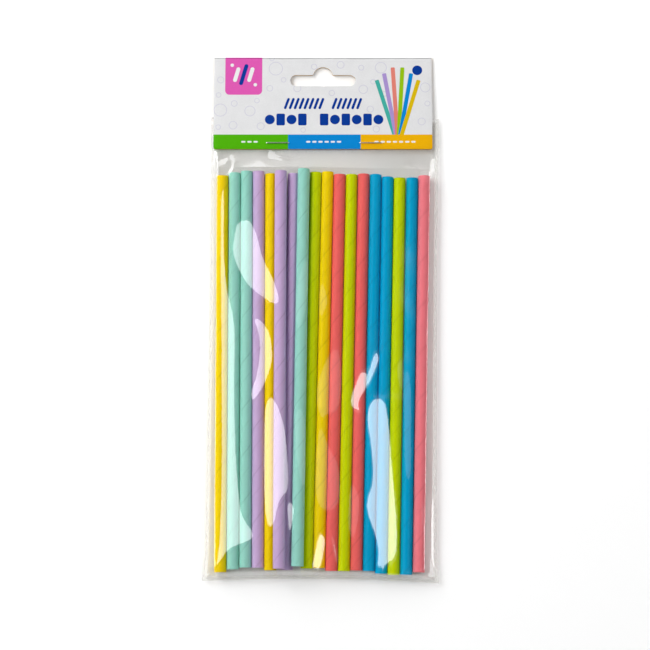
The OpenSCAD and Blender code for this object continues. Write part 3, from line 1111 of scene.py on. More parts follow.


# Outlines read from the photograph, to half a millimetre.
FACETS = (
    Facet("upper left pane", Lamp.LEFT, (
        (-43, 45.5), (-35, 45), (-31.5, 33.5), (-30.5, 27), (-23.5, 13.5), (-20.5, 3), (-26.5, 5.5),
        (-36.5, 13), (-41.5, 20.5), (-45.5, 31), (-44, 38))),
    Facet("crescent", Lamp.LEFT, (
        (-35, -2), (-27, -8), (-24.5, -19), (-25.5, -29), (-32.5, -43.5), (-36, -42.5), (-32, -31),
        (-30.5, -19), (-31.5, -10))),
    Facet("lower left pane", Lamp.LEFT, (
        (-25.5, -41.5), (-28.5, -47), (-28.5, -92.5), (-25.5, -109.5), (-20.5, -91.5), (-16, -88.5),
        (-16.5, -75.5), (-18.5, -53.5))),
    Facet("left streak", Lamp.LEFT, (
        (-51, 64), (-49.5, 64), (-49.5, 27), (-47, 6.5), (-43.5, -6.5), (-44, -39.5),
        (-42.5, -73.5), (-40.5, -97.5), (-37.5, -104), (-32, -110), (-37.5, -112.5), (-47, -115),
        (-53, -129), (-50, -114), (-49, -73.5), (-50, -28.5), (-51, 27))),
    Facet("flick by the pane", Lamp.LEFT, (
        (-18, -92.5), (-13, -95), (-14, -102), (-16, -112), (-17, -104))),
    Facet("upper flick", Lamp.RIGHT, (
        (26.5, -19.5), (28, -23.5), (26, -28.5), (22, -38), (20.5, -36), (23, -28), (24.5, -22.5))),
    Facet("lower flick", Lamp.RIGHT, (
        (18, -30), (22, -30), (21.5, -37.5), (17.5, -44.5), (17.5, -47), (20, -50.5), (14, -48),
        (13, -43.5), (15.5, -37))),
    Facet("right pane", Lamp.RIGHT, (
        (23, -44), (30.5, -42.5), (32.5, -56), (34, -78), (36.5, -107), (35.5, -121.5),
        (31, -122.5), (27.5, -129.5), (26, -127), (27, -114), (21.5, -100), (20.5, -93),
        (24.5, -84), (23.5, -66), (21, -52))),
    Facet("sliver at the foot", Lamp.RIGHT, (
        (-2, -108.5), (1, -109), (1, -116.5), (-1.5, -127), (-6, -127), (-4, -117.5))),
    Facet("hair line", Lamp.RIGHT, (
        (4, -108.5), (5.5, -112.5), (7.5, -122.5), (6.5, -122.5), (4.5, -114))),
    Facet("dim leaf", Lamp.DIM, (
        (3.5, -19), (9.5, -20.5), (9, -49), (3, -49.5), (-1, -54), (-3.5, -44), (-2.5, -34))),
    Facet("dim pane", Lamp.DIM, (
        (-1, -56), (2.5, -66.5), (8.5, -76), (8.5, -95.5), (1.5, -97.5), (-4, -94), (-3, -63.5))),
    Facet("dim flake", Lamp.DIM, (
        (-1.5, 18), (3, 6), (1, 0), (-2, -5))),
    Facet("dim flake right", Lamp.DIM, (
        (13, -82), (18, -90.5), (18, -98.5), (14.5, -113), (12, -106))),
    Facet("dim fan", Lamp.DIM, (
        (-12, 20), (-7, 28.5), (-7.5, 2), (-12, -12), (-14.5, -2))),
    Facet("dim bar", Lamp.DIM, (
        (-14.5, -48.5), (-8, -48.5), (-8, -92.5), (-13, -75.5))),
    Facet("dim spot", Lamp.DIM, (
        (36.5, -24), (40, -25), (39.5, -39), (37, -36))),
    Facet("dim bar right", Lamp.DIM, (
        (40, -29), (43, -30), (43.5, -53.5), (43, -84.5), (39.5, -79))),
    Facet("crease by the left edge", Lamp.HEAD, (
        (-53, 78), (-47.5, 78.5), (-48, 76), (-53, 75.5))),
    Facet("hooked crease", Lamp.HEAD, (
        (-48, 82.5), (-44, 78), (-44.5, 74), (-48, 67.5), (-47, 71.5), (-45.5, 76))),
    Facet("crease under the card", Lamp.HEAD, (
        (-28, 83), (-25.5, 83), (-23.5, 79.5), (-14.5, 77.5), (-23.5, 78.5), (-27.5, 78))),
    Facet("crease over the last straws", Lamp.HEAD, (
        (43.5, 75.5), (45, 75.5), (49, 71), (47.5, 71))),
    Facet("corner crease", Lamp.RIGHT, (
        (48.5, -127.5), (50, -127.5), (57.5, -132), (56.5, -133))),
    Facet("margin blade", Lamp.RIGHT, (
        (52.5, -92), (55, -89.5), (57.5, -107), (57, -122), (54, -127), (52.5, -121.5))),
    Facet("corner crease left", Lamp.LEFT, (
        (-52.5, -126.5), (-51.5, -127.5), (-56.5, -131), (-57.5, -130))),
)


@dataclass
class FilmGrid:
    """Rows and columns of one side of the bag, in the bag's plane.

    Attributes:
        layout: Where the bag lies.
        columns: Columns between the two margins.
        margin: Distances from the side edge of the closer columns there.
        under: Rows under the card.
        ramp: Rows from the card's edge to the straws' upper ends.
        body: Rows over the straws.
        end: Rows from the straws' lower ends to the weld.
        weld: Rows across the weld at the foot.
        body_v: Height in the bag's plane at which the film has its full depth.
        end_ramp: Distance above the weld at which it has its full depth.
    """

    layout: PackLayout
    columns: int
    margin: tuple[float, ...]
    under: int
    ramp: int
    body: int
    end: int
    weld: int = 2
    body_v: float = -14.3
    end_ramp: float = 3.0

    def edge(self, u: Array) -> Array:
        """The card's lower edge at each u."""
        rise = (self.layout.card_edge_y - self.layout.staple_y) / math.cos(self.layout.lean)
        return rise + u * math.tan(self.layout.lean)

    def places(self) -> Pair:
        """Places of the grid's points, from the mouth down and from left to right.

        The width hangs on v and the rows' heights on u, so both are worked out three times.

        Returns:
            u and v, each shaped (rows, columns).
        """
        layout, margin = self.layout, np.array(self.margin)
        counts = (self.under, self.ramp, self.body, self.end, self.weld)
        share = np.linspace(0, 1, self.columns + 2)[1:-1]
        side = len(margin)
        v = np.zeros((1 + sum(counts), self.columns + 2 * side))
        for _ in range(3):
            half = layout.half_at(v)
            left, right = margin - half[:, :side], half[:, -side:] - margin[::-1]
            inner = left[:, -1:] + (right[:, :1] - left[:, -1:]) * share
            u = np.hstack([left, inner, right])
            foot = layout.bottom(u[-1])
            weld = foot + layout.weld
            stops = (layout.mouth + 0 * foot, self.edge(u[0]), self.body_v + 0 * foot,
                     weld + self.end_ramp, weld, foot)
            parts = [stops[0][None, :]]
            for first, last, count in zip(stops, stops[1:], counts):
                step = np.arange(1, count + 1)[:, None] / count
                parts.append(first + (last - first) * step)
            v = np.vstack(parts)
        return u, v


def polyline(where: Array, knots: list[Array], heights: list[Array]) -> Array:
    """Height of a line through knots that differ from row to row.

    The height is heights[0] + sum of (heights[k + 1] - heights[k]) * t_k, with t_k the
    share of the span from knot k to knot k + 1 that lies before the place.

    Args:
        where: Where the line is read, shaped (rows, columns).
        knots: Place of each knot, shaped like where or (rows, 1).
        heights: Height at each knot.

    Returns:
        The height at each place.
    """
    height = heights[0] + np.zeros_like(where)
    for start, end, low, high in zip(knots, knots[1:], heights, heights[1:]):
        height += (high - low) * np.clip((where - start) / (end - start), 0, 1)
    return height


@dataclass
class Steps:
    """Steps between neighbours along one axis of the film's grid, and the slopes they want.

    Attributes:
        axis: 0 down the rows, 1 across the columns.
        length: Length of each step.
        width: Width of the strip that each step stands for.
        base: Heights of the taut film.
        facet_weight: Weight of a facet's slopes.
        level: Slope under which taut film is kept calm.
        limits: Steepest fall and rise that calm film may keep.
        trace: Share of a facet from which on a place counts as part of it.
        calm_share: Share of the limits that a step which is too steep is asked for.
        calm_weight: Weight of that slope.
    """

    axis: int
    length: Array
    width: Array
    base: Array
    facet_weight: float
    level: float
    limits: tuple[float, float]
    trace: float = 0.02
    calm_share: float = 0.8
    calm_weight: float = 30.0

    def __post_init__(self) -> None:
        """Starts from the slopes of the taut film, weighted by area."""
        self.area = self.length * self.width
        self.weight = self.area.copy()
        self.slope = self.rise(self.base) / self.length
        self.calm = np.abs(self.slope) < self.level

    def ends(self, values: Array) -> Pair:
        """Returns the values at the first end and at the second end of each step."""
        return (values[:, :-1], values[:, 1:]) if self.axis else (values[:-1], values[1:])

    def rise(self, values: Array) -> Array:
        """Returns how much the values rise over each step."""
        first, second = self.ends(values)
        return second - first

    def middle(self, values: Array) -> Array:
        """Returns the mean of the values at both ends of each step."""
        first, second = self.ends(values)
        return (first + second) / 2

    def lean(self, share: Array, slope: Array, window: tuple[float, float]) -> None:
        """Asks the steps in a facet for its slope.

        Args:
            share: Share of the facet at each point.
            slope: Slope along this axis at which each point mirrors its lamp.
            window: Least and greatest slope that is asked for.
        """
        near = self.middle(share)
        self.slope += near * (np.clip(self.middle(slope), *window) - self.slope)
        self.weight += self.area * self.facet_weight * near
        self.calm &= near < self.trace

    def settle(self, height: Array) -> None:
        """Asks calm steps that have become too steep at these heights to lie flatter."""
        steep = self.rise(height) / self.length
        low, high = self.limits
        over = self.calm & ((steep < low) | (steep > high))
        self.slope[over] = np.clip(steep[over], self.calm_share * low, self.calm_share * high)
        self.weight[over] = self.calm_weight * self.area[over]


@dataclass
class ReliefSolver:
    """Heights on a grid whose slopes come as near as they can to wanted ones.

    It minimises the sum of w (dh / d - s)^2 over the steps along both axes, plus
    k (h - g)^2 over the points, by conjugate gradients.

    Attributes:
        steps: The steps along each axis, with length d, wanted slope s and weight w.
        pull: Weight k of each point's goal.
        settled: Size of the remainder at which it stops early.
    """

    steps: list[Steps]
    pull: Array
    settled: float = 1e-9

    def _spread(self, flows: Iterable[Array]) -> Array:
        """Adds up what each step gives its two ends: less to the first, more to the second."""
        total = np.zeros_like(self.pull)
        for steps, flow in zip(self.steps, flows):
            first, second = steps.ends(total)
            first -= flow
            second += flow
        return total

    def solve(self, start: Array, goal: Array, rounds: int) -> Array:
        """Finds the heights.

        Args:
            start: First guess.
            goal: Wanted height g of each point.
            rounds: Steps of the conjugate gradients.

        Returns:
            The heights.
        """
        stiff = [steps.weight / steps.length**2 for steps in self.steps]
        diagonal = self.pull.copy()
        for stiffness, steps in zip(stiff, self.steps):
            for end in steps.ends(diagonal):
                end += stiffness

        def apply(height: Array) -> Array:
            """Applies the normal equations to a field."""
            flows = (k * steps.rise(height) for k, steps in zip(stiff, self.steps))
            return self._spread(flows) + self.pull * height

        flows = (k * steps.slope * steps.length for k, steps in zip(stiff, self.steps))
        wanted = self._spread(flows)
        height = start.copy()
        rest = wanted + self.pull * goal - apply(height)
        scaled = rest / diagonal
        way, size = scaled.copy(), float((rest * scaled).sum())
        for _ in range(rounds):
            bent = apply(way)
            reach = size / float((way * bent).sum())
            height += reach * way
            rest -= reach * bent
            scaled = rest / diagonal
            new_size = float((rest * scaled).sum())
            if new_size < self.settled:
                break
            way = scaled + new_size / size * way
            size = new_size
        return height


@dataclass
class FilmBag:
    """Clear bag of two welded films, the front one creased over the straws.

    Attributes:
        layout: Where the bag lies.
        straws: The straws in it.
        view: The camera that its lit creases are set against.
        finish: Material values of the front film.
        back_finish_and_shade: Material values of the back film, which is seen through the front
            one.
        Its tints are darker than the front film's and paint shade on the floor seen inside
        the bag.
        raised: The straws that ride on their neighbours.
        clearance: Room between the film and a straw under it.
        slack: What taut film keeps over that.
        end_room: How far past a straw's ends it keeps clear of them.
        shoulder: How far past the outer straws' axes the film runs level.
        parting: Half the gap between the two films where they are welded.
        margin: Distances from the side edge of the closer columns there.
        weld_fade: How far in from the side welds and the foot's weld their haze fades.
        ripple: Steepest slope of each of its slow waves.
        waves: Lengths of the waves.
        wave_turn: Range of the waves' directions, in radians.
        wave_border: Distance from the side edge at which they have their full height.
        seed: Seed of the waves.
        facet_edge: Half width of the ramp at a facet's outline.
        facet_sway: How far a facet's slope along the pack may leave the lamp's tilt.
        loose_pull: Pull of the film over the straws towards its taut form.
        taut_pull: The same beside the straws and above them.
        touch_pull: Pull of a point that would sink into a straw, towards its surface.
        held_pull: Pull of the welds and of the film under the card.
        rounds: Steps of the solver in each round.
    """

    layout: PackLayout
    straws: list[Straw]
    view: View
    finish: FilmFinish = FilmFinish()
    # The back film is a darker copy of the front film: its tints paint shade on the floor seen
    # inside the bag.
    back_finish_and_shade: FilmFinish = FilmFinish(tint=(0.965, 0.96, 0.95), weld_tint=(0.98, 0.975, 0.965))
    raised: tuple[int, int] = (6, 8)
    clearance: float = 0.12
    slack: float = 0.03
    end_room: float = 0.2
    shoulder: float = 2.8
    parting: float = 0.01
    margin: tuple[float, ...] = (0.0, 0.6, 1.2, 1.5, 1.8, 2.1, 2.4, 2.7, 3.1, 3.6, 4.2, 4.8)
    weld_fade: tuple[float, float] = (1.1, 0.7)
    ripple: float = 0.011
    waves: tuple[float, ...] = (46.0, 37.0, 30.0, 24.0, 19.0, 15.0)
    wave_turn: tuple[float, float] = (-0.5, 0.9)
    wave_border: float = 9.0
    seed: int = 11
    facet_edge: float = 0.35
    facet_sway: float = 0.03
    loose_pull: float = 0.0006
    taut_pull: float = 0.5
    touch_pull: float = 30.0
    held_pull: float = 1000.0
    rounds: tuple[int, ...] = (500, 300, 300, 300, 300, 300)

    def _axis(self, number: int, v: Array) -> Pair:
        """Place across the bag and height of a straw's axis at each v."""
        foot, top = self.straws[number - 1].start, self.straws[number - 1].end
        (u0, v0), (u1, v1) = (self.layout.across(x, y) for x, y, _ in (foot, top))
        share = (v - v0) / (v1 - v0)
        return u0 + (u1 - u0) * share, foot[2] + (top[2] - foot[2]) * share

    def _outer(self, v: Array) -> Pair:
        """Where the film turns down beside the outer straws, at each v."""
        left, right = (self._axis(number, v)[0] for number in (1, len(self.straws)))
        return left - self.shoulder, right + self.shoulder

    def _fullness(self, grid: FilmGrid, u: Array, v: Array) -> Array:
        """Share of the bag's depth: a ramp below the card times a quarter round at the foot."""
        edge = grid.edge(u)
        head = np.clip((edge - v) / (edge - grid.body_v), 0, 1)
        weld = self.layout.bottom(u) + self.layout.weld
        foot = np.sin(np.pi / 2 * np.clip((v - weld) / grid.end_ramp, 0, 1))
        return head * foot

    def _tent(self, u: Array, v: Array, seam: Array) -> Array:
        """Taut film over the outer straws and the raised ones, down to the side welds."""
        row = v[:, u.shape[1] // 2][:, None]
        weld = self.layout.half_at(row) - self.layout.weld
        lift = self.straws[0].radius + self.clearance + self.slack
        knots, heights = [-weld], [seam[:, :1]]
        last = len(self.straws)
        stops = [(1, -self.shoulder), (1, 0.0), *((number, 0.0) for number in self.raised),
                 (last, 0.0), (last, self.shoulder)]
        for number, shift in stops:
            middle, height = self._axis(number, row)
            knots.append(middle + shift)
            heights.append(height + lift)
        return polyline(u, knots + [weld], heights + [seam[:, :1]])

    def _straw_tops(self, u: Array, v: Array) -> Array:
        """Lowest height that clears the straws: axis + sqrt(r^2 - d^2) over each one."""
        low = np.full(u.shape, self.layout.film)
        for straw in self.straws:
            middle, height = self._axis(straw.number, v)
            foot, top = (self.layout.across(x, y)[1] for x, y, _ in (straw.start, straw.end))
            reach = straw.radius + self.clearance
            bulge = height + np.sqrt(np.maximum(reach**2 - (u - middle) ** 2, 0))
            over = (v > foot - self.end_room) & (v < top + self.end_room)
            over &= np.abs(u - middle) < reach
            low = np.where(over, np.maximum(low, bulge), low)
        return low

    def _ripples(self, x: Array, y: Array) -> Array:
        """Sum of slow waves a * cos(k . p + phase), each of the same steepest slope."""
        random = np.random.default_rng(self.seed)
        height = np.zeros_like(x)
        for length in self.waves:
            angle, phase = random.uniform(*self.wave_turn), random.uniform(0, 2 * np.pi)
            wave = 2 * np.pi / length
            shift = wave * (x * math.cos(angle) + y * math.sin(angle)) + phase
            height += self.ripple / wave * np.cos(shift)
        return height

    def _inland(self, u: Array, v: Array) -> Array:
        """Share that grows from 0 at the side welds to 1 over the first straw."""
        edge = self.layout.half_at(v) - np.abs(u)
        return smooth_step(self.layout.weld, self.wave_border, edge)

    def _front_heights(self, grid: FilmGrid, u: Array, v: Array) -> Array:
        """Heights of the front film's inner face, with the facets that mirror the lamps.

        A taut form is worked out first. The solver then bends it, in rounds, to the slopes
        that the facets ask for: after each round a point that would sink into a straw is
        pulled to its surface, and a step that has become too steep is asked to lie flatter.

        Args:
            grid: The film's rows and columns.
            u: Places across the bag.
            v: Places along the bag.

        Returns:
            The height at each place.
        """
        x, y = self.layout.world(u, v)
        seam = self.layout.seam_height(y) + self.parting
        fullness = self._fullness(grid, u, v)
        base = seam + (self._tent(u, v, seam) - seam) * fullness
        base += self._ripples(x, y) * smooth_step(0, 1, fullness) * self._inland(u, v)
        row_height = np.abs(np.gradient(v[:, 0]))[:, None]
        across = Steps(
            1, np.diff(u, axis=1), row_height, base, facet_weight=60.0, level=0.3,
            limits=(-0.12, 0.17))
        down = Steps(
            0, -np.diff(v, axis=0), np.gradient(u[len(u) // 2]), base, facet_weight=12.0,
            level=0.12, limits=(-0.34, 0.34))
        points, creased = np.stack([x, y, base], axis=-1), np.zeros(u.shape, dtype=bool)
        for facet in FACETS:
            share = smooth_step(-self.facet_edge, self.facet_edge, facet.inside(x, y))
            LOG.info("%s: %d points of the film", facet.name, np.count_nonzero(share > 0.5))
            creased |= share > Steps.trace
            lean_x, lean_y = facet.lamp.value.slopes(points, self.view.eye)
            tilt = math.tan(math.radians(facet.lamp.value.tilt_y))
            across.lean(share, lean_x, (-np.inf, np.inf))
            down.lean(share, -lean_y, (tilt - self.facet_sway, tilt + self.facet_sway))
        inner = self.layout.half_at(v) - self.layout.weld
        held = (fullness <= 0) | (np.abs(u) >= inner - 1e-6)
        left, right = self._outer(v)
        taut = ((u < left) | (u > right) | (v > grid.body_v)) & ~creased
        loose = np.where(taut, self.taut_pull, self.loose_pull) * row_height
        loose[held] = self.held_pull
        low = self._straw_tops(u, v)
        height, sunk = base.copy(), np.zeros(u.shape, dtype=bool)
        for rounds in self.rounds:
            goal, pull = np.where(sunk, low, base), np.where(sunk, self.touch_pull, loose)
            height = ReliefSolver([across, down], pull).solve(height, goal, rounds)
            sunk = (height < low) & ~held
            across.settle(height)
            down.settle(height)
        return np.where(held, base, np.maximum(height, low))

    def _back_heights(self, grid: FilmGrid, u: Array, v: Array) -> Array:
        """Heights of the back film's inner face: level under the straws, up to the welds."""
        _, y = self.layout.world(u, v)
        seam = self.layout.seam_height(y) - self.parting
        weld = self.layout.half_at(v) - self.layout.weld
        left, right = self._outer(v)
        film = np.full_like(u, self.layout.film)
        base = polyline(u, [-weld, left, right, weld], [seam, film, film, seam])
        return seam + (base - seam) * self._fullness(grid, u, v)

    def _side(self, name: str, grid: FilmGrid, front: bool) -> bpy.types.Object:
        """Makes the front film or the back film, given its thickness by a modifier."""
        u, v = grid.places()
        x, y = self.layout.world(u, v)
        z = self._front_heights(grid, u, v) if front else self._back_heights(grid, u, v)
        LOG.info("%s: heights from %.2f to %.2f mm", name, z.min(), z.max())
        weld, (side_fade, foot_fade) = self.layout.weld, self.weld_fade
        side, foot = self.layout.half_at(v) - np.abs(u), v - self.layout.bottom(u)
        haze = np.maximum(
            smooth_step(weld + side_fade, weld, side), smooth_step(weld + foot_fade, weld, foot))
        points, uv = np.stack([x, y, z], axis=-1), np.stack([u, v], axis=-1)
        if not front:
            points, uv, haze = points[:, ::-1], uv[:, ::-1], haze[:, ::-1]
        piece = Shell.of_grid(points, uv).piece(name, {WELD_SHARE: haze.ravel()})
        wall = piece.modifiers.new("film thickness", "SOLIDIFY")
        wall.thickness, wall.offset = self.layout.film * MM, 1.0
        finish = self.finish if front else self.back_finish_and_shade
        piece.data.materials.append(finish.material(name.replace("_", " ")))
        return place(piece, Slot.FILM, "bag")

    def build(self) -> list[bpy.types.Object]:
        """Makes both films."""
        fine = FilmGrid(self.layout, 148, self.margin, under=5, ramp=24, body=222, end=8)
        coarse = FilmGrid(self.layout, 60, self.margin[::2], under=4, ramp=6, body=70, end=5)
        return [self._side("film_front", fine, True), self._side("film_back", coarse, False)]


# Header card


class Ink(Enum):
    """Printing inks of the card, linear."""

    GREEN = from_srgb(74, 167, 0)
    BLUE = from_srgb(0, 127, 199)
    AMBER = from_srgb(226, 168, 0)
    PINK = from_srgb(212, 85, 169)
    NAVY = from_srgb(0, 52, 140)
    WHITE = from_srgb(224, 224, 224)
    GREY = from_srgb(192, 190, 206)
    TEAL = from_srgb(62, 164, 152)
    LILAC = from_srgb(160, 138, 196)
    LIME = from_srgb(140, 182, 10)
    CORAL = from_srgb(214, 122, 108)
    YELLOW = from_srgb(206, 174, 8)


@dataclass(frozen=True)
class Block:
    """Printed block on the front panel, in millimetres.

    Attributes:
        ink: Its ink.
        x: Middle, across the card.
        y: Middle, measured from the fold, below it negative.
        wide: Full width.
        tall: Full height.
        radius: Radius of its corners.
        turn: Turn to the left, in degrees.
        both: Whether the back panel has it too.
    """

    ink: Ink
    x: float
    y: float
    wide: float
    tall: float
    radius: float = 0.0
    turn: float = 0.0
    both: bool = False


@dataclass(frozen=True)
class Ring:
    """Printed outline of a circle: its middle, as for a block, radius and line width."""

    x: float
    y: float
    radius: float
    line: float = 0.35


class CardPrint:
    """Generic print of the card: a tab, two rows of shapes, a stripe and a fan.

    Attributes:
        stripe_top: Upper edge of the stripe, measured from the fold.
        stripe_foot: Its lower edge, past the card's own.
        fan_foot: Where the bars of the fan meet.
        tab: The coloured tab.
        badge: The round badge.
    """

    stripe_top = -40.9
    stripe_foot = -49.5
    fan_foot = (38.0, -47.0)
    tab = Block(Ink.PINK, -40.3, -8.4, 18.8, 23.0, 2.3)
    badge = Block(Ink.NAVY, 48.0, -6.9, 5.1, 5.1, 2.55)

    def blocks(self) -> list[Block]:
        """Returns every block, in the order in which they are printed."""
        return [
            *self._fan(), *self._stripe(), self.tab, *self._tab_motif(), *self._slanted_row(),
            *self._bold_row(), self.badge,
        ]

    def _stripe(self) -> list[Block]:
        """Three colours along the lower edge, with short dashes on them."""
        middle, tall = (self.stripe_top + self.stripe_foot) / 2, self.stripe_top - self.stripe_foot
        ends = ((Ink.GREEN, -56.0, -17.6), (Ink.BLUE, -17.6, 19.1), (Ink.AMBER, 19.1, 56.0))
        bands = [Block(ink, (a + b) / 2, middle, b - a, tall, both=True) for ink, a, b in ends]
        dashes = [
            Block(Ink.WHITE, start + 3.1 * step, -44.7, 2.1, 0.9, 0.45)
            for start, count in ((-40.2, 3), (-7.4, 6), (27.1, 7))
            for step in range(count)
        ]
        return bands + dashes

    @staticmethod
    def _tab_motif() -> list[Block]:
        """Three leaning bars and two dots on the tab."""
        bars = [
            Block(ink, -43.9 + 3.6 * step, -9.2, 2.0, tall, 1.0, -16.0)
            for step, (ink, tall) in enumerate(
                ((Ink.WHITE, 8.0), (Ink.NAVY, 11.5), (Ink.WHITE, 8.0)))
        ]
        dots = [Block(Ink.WHITE, x, y, 1.8, 1.8, 0.9) for x, y in ((-46.2, -4.2), (-34.4, -14.6))]
        return bars + dots

    @staticmethod
    def _slanted_row() -> list[Block]:
        """Two runs of slim leaning bars."""
        return [
            Block(Ink.NAVY, start + 2.5 * step, -24.6, 1.3, 6.2, 0.65, -20.0)
            for start, count in ((-18.3, 8), (5.9, 6))
            for step in range(count)
        ]

    @staticmethod
    def _bold_row() -> list[Block]:
        """A row of solid discs and squares in turn, with a gap for the fifth."""
        disc, square = (5.0, 5.0, 2.5), (4.3, 6.2, 0.7)
        return [
            Block(Ink.NAVY, -26.9 + 5.5 * step, -33.0, *(square if step % 2 else disc))
            for step in range(11)
            if step != 4
        ]

    def _fan(self) -> list[Block]:
        """Six coloured bars that spread from one foot behind the stripe."""
        inks = (Ink.TEAL, Ink.LILAC, Ink.CORAL, Ink.LIME, Ink.BLUE, Ink.YELLOW)
        bars = []
        for step, ink in enumerate(inks):
            lean = math.radians(-17 + 6.8 * step)
            reach = 43.0 - 2.6 * abs(step - 2.5)
            x = self.fan_foot[0] + reach / 2 * math.sin(lean)
            y = self.fan_foot[1] + reach / 2 * math.cos(lean)
            bars.append(Block(ink, x, y, 2.1, reach, 0.5, -math.degrees(lean)))
        return bars

    @staticmethod
    def rings() -> list[Ring]:
        """Faint circles scattered over the ground."""
        spots = (
            (-52.0, -28.0, 3.2), (-45.5, -36.0, 2.0), (-37.0, -28.5, 2.6), (-24.0, -6.0, 3.4),
            (-13.0, -16.5, 1.8), (-27.0, -16.5, 1.5), (-4.5, -5.0, 1.4), (20.5, -17.0, 2.2),
            (29.5, -5.5, 2.8), (24.0, -27.5, 1.6), (52.0, -16.0, 2.4), (50.0, -34.0, 1.8),
            (27.0, -38.0, 1.6), (9.0, -4.0, 1.8), (-52.0, -12.0, 1.6), (4.5, -19.0, 1.4),
            (-53.0, -20.0, 1.2), (-45.0, -24.5, 1.5), (-33.5, -23.0, 1.2), (-53.0, -37.0, 1.2),
            (-31.5, -36.5, 1.8), (-26.0, -0.5, 1.2), (-20.0, -12.0, 1.2), (25.5, -13.0, 1.2),
            (19.5, -5.5, 1.3), (53.0, -24.5, 1.3), (31.0, -19.5, 1.3), (-10.0, -38.5, 1.2),
        )
        return [Ring(*spot) for spot in spots]


@dataclass(frozen=True)
class BoardFinish:
    """Coated white board, printed on the outside, tan where it is cut.

    Attributes:
        white: Colour of the coated face, linear.
        cut: Colour of the cut edge, linear.
        roughness: Roughness of the coating.
        specular: Strength of its sheen.
        faint: How strongly the faint rings are printed.
        over_fold: How far the front's print may run over the fold, in millimetres.
    """

    white: Colour = from_srgb(218, 218, 219)
    cut: Colour = from_srgb(238, 190, 100)
    roughness: float = 0.42
    specular: float = 0.1
    faint: float = 0.75
    over_fold: float = 0.6

    def printed(self, groups: SharedGroups, card_print: CardPrint) -> bpy.types.Material:
        """Builds the coated face with its print."""
        material, wiring, surface = new_material("printed board")
        uv = wiring.surface_place()
        x, y, _ = wiring.split(uv)
        front = wiring.math("LESS_THAN", y, self.over_fold)
        folded = wiring.vector(x, wiring.math("MULTIPLY", wiring.math("ABSOLUTE", y), -1.0))
        fibre = wiring.group(groups.fibre, Vector=uv, Grain=1.2, Stretch=1.0)
        grain, blotch = fibre["Grain"], fibre["Blotch"]
        colour = wiring.mix(wiring.ramp(blotch, 0.3, 0.7), shaded(self.white, 0.965), self.white)
        for ring in card_print.rings():
            ink = wiring.group(
                groups.ring, Vector=uv, X=ring.x, Y=ring.y, Radius=ring.radius, Line=ring.line)
            share = wiring.math("MULTIPLY", ink[0], self.faint)
            colour = wiring.mix(share, colour, Ink.GREY.value)
        for block in card_print.blocks():
            share = wiring.group(
                groups.block, Vector=folded if block.both else uv, X=block.x, Y=block.y,
                Half_Width=block.wide / 2, Half_Height=block.tall / 2, Radius=block.radius,
                Turn=-math.radians(block.turn))[0]
            if not block.both:
                share = wiring.math("MULTIPLY", share, front)
            colour = wiring.mix(share, colour, block.ink.value)
        tone = wiring.ramp(grain, 0.2, 0.8, 0.97, 1.02)
        tones = wiring.node("CombineColor", {0: tone, 1: tone, 2: tone}).outputs[0]
        colour = wiring.mix(1.0, colour, tones, "MULTIPLY")
        rough = wiring.ramp(grain, 0.2, 0.8, self.roughness - 0.05, self.roughness + 0.07)
        shader = wiring.principled(
            colour, rough, wiring.bump(grain, 0.02, 0.35), Specular_IOR_Level=self.specular)
        wiring.feed(surface, shader)
        return material

    def cut_edge(self, groups: SharedGroups) -> bpy.types.Material:
        """Builds the bare cut edge of the board, with layers across its thickness."""
        material, wiring, surface = new_material("cut board")
        spread = {"Vector": wiring.node("TexCoord").outputs["Object"],
                  "Scale": (1 / MM, 1 / MM, 3 / MM)}
        scaled = wiring.node("Mapping", spread).outputs[0]
        grain = wiring.group(groups.fibre, Vector=scaled, Grain=2.0, Stretch=1.0)["Grain"]
        colour = wiring.mix(wiring.ramp(grain, 0.3, 0.7), shaded(self.cut, 0.75), self.cut)
        rough = wiring.ramp(grain, 0.2, 0.8, 0.78, 0.92)
        wiring.feed(surface, wiring.principled(colour, rough, wiring.bump(grain, 0.05, 0.5)))
        return material


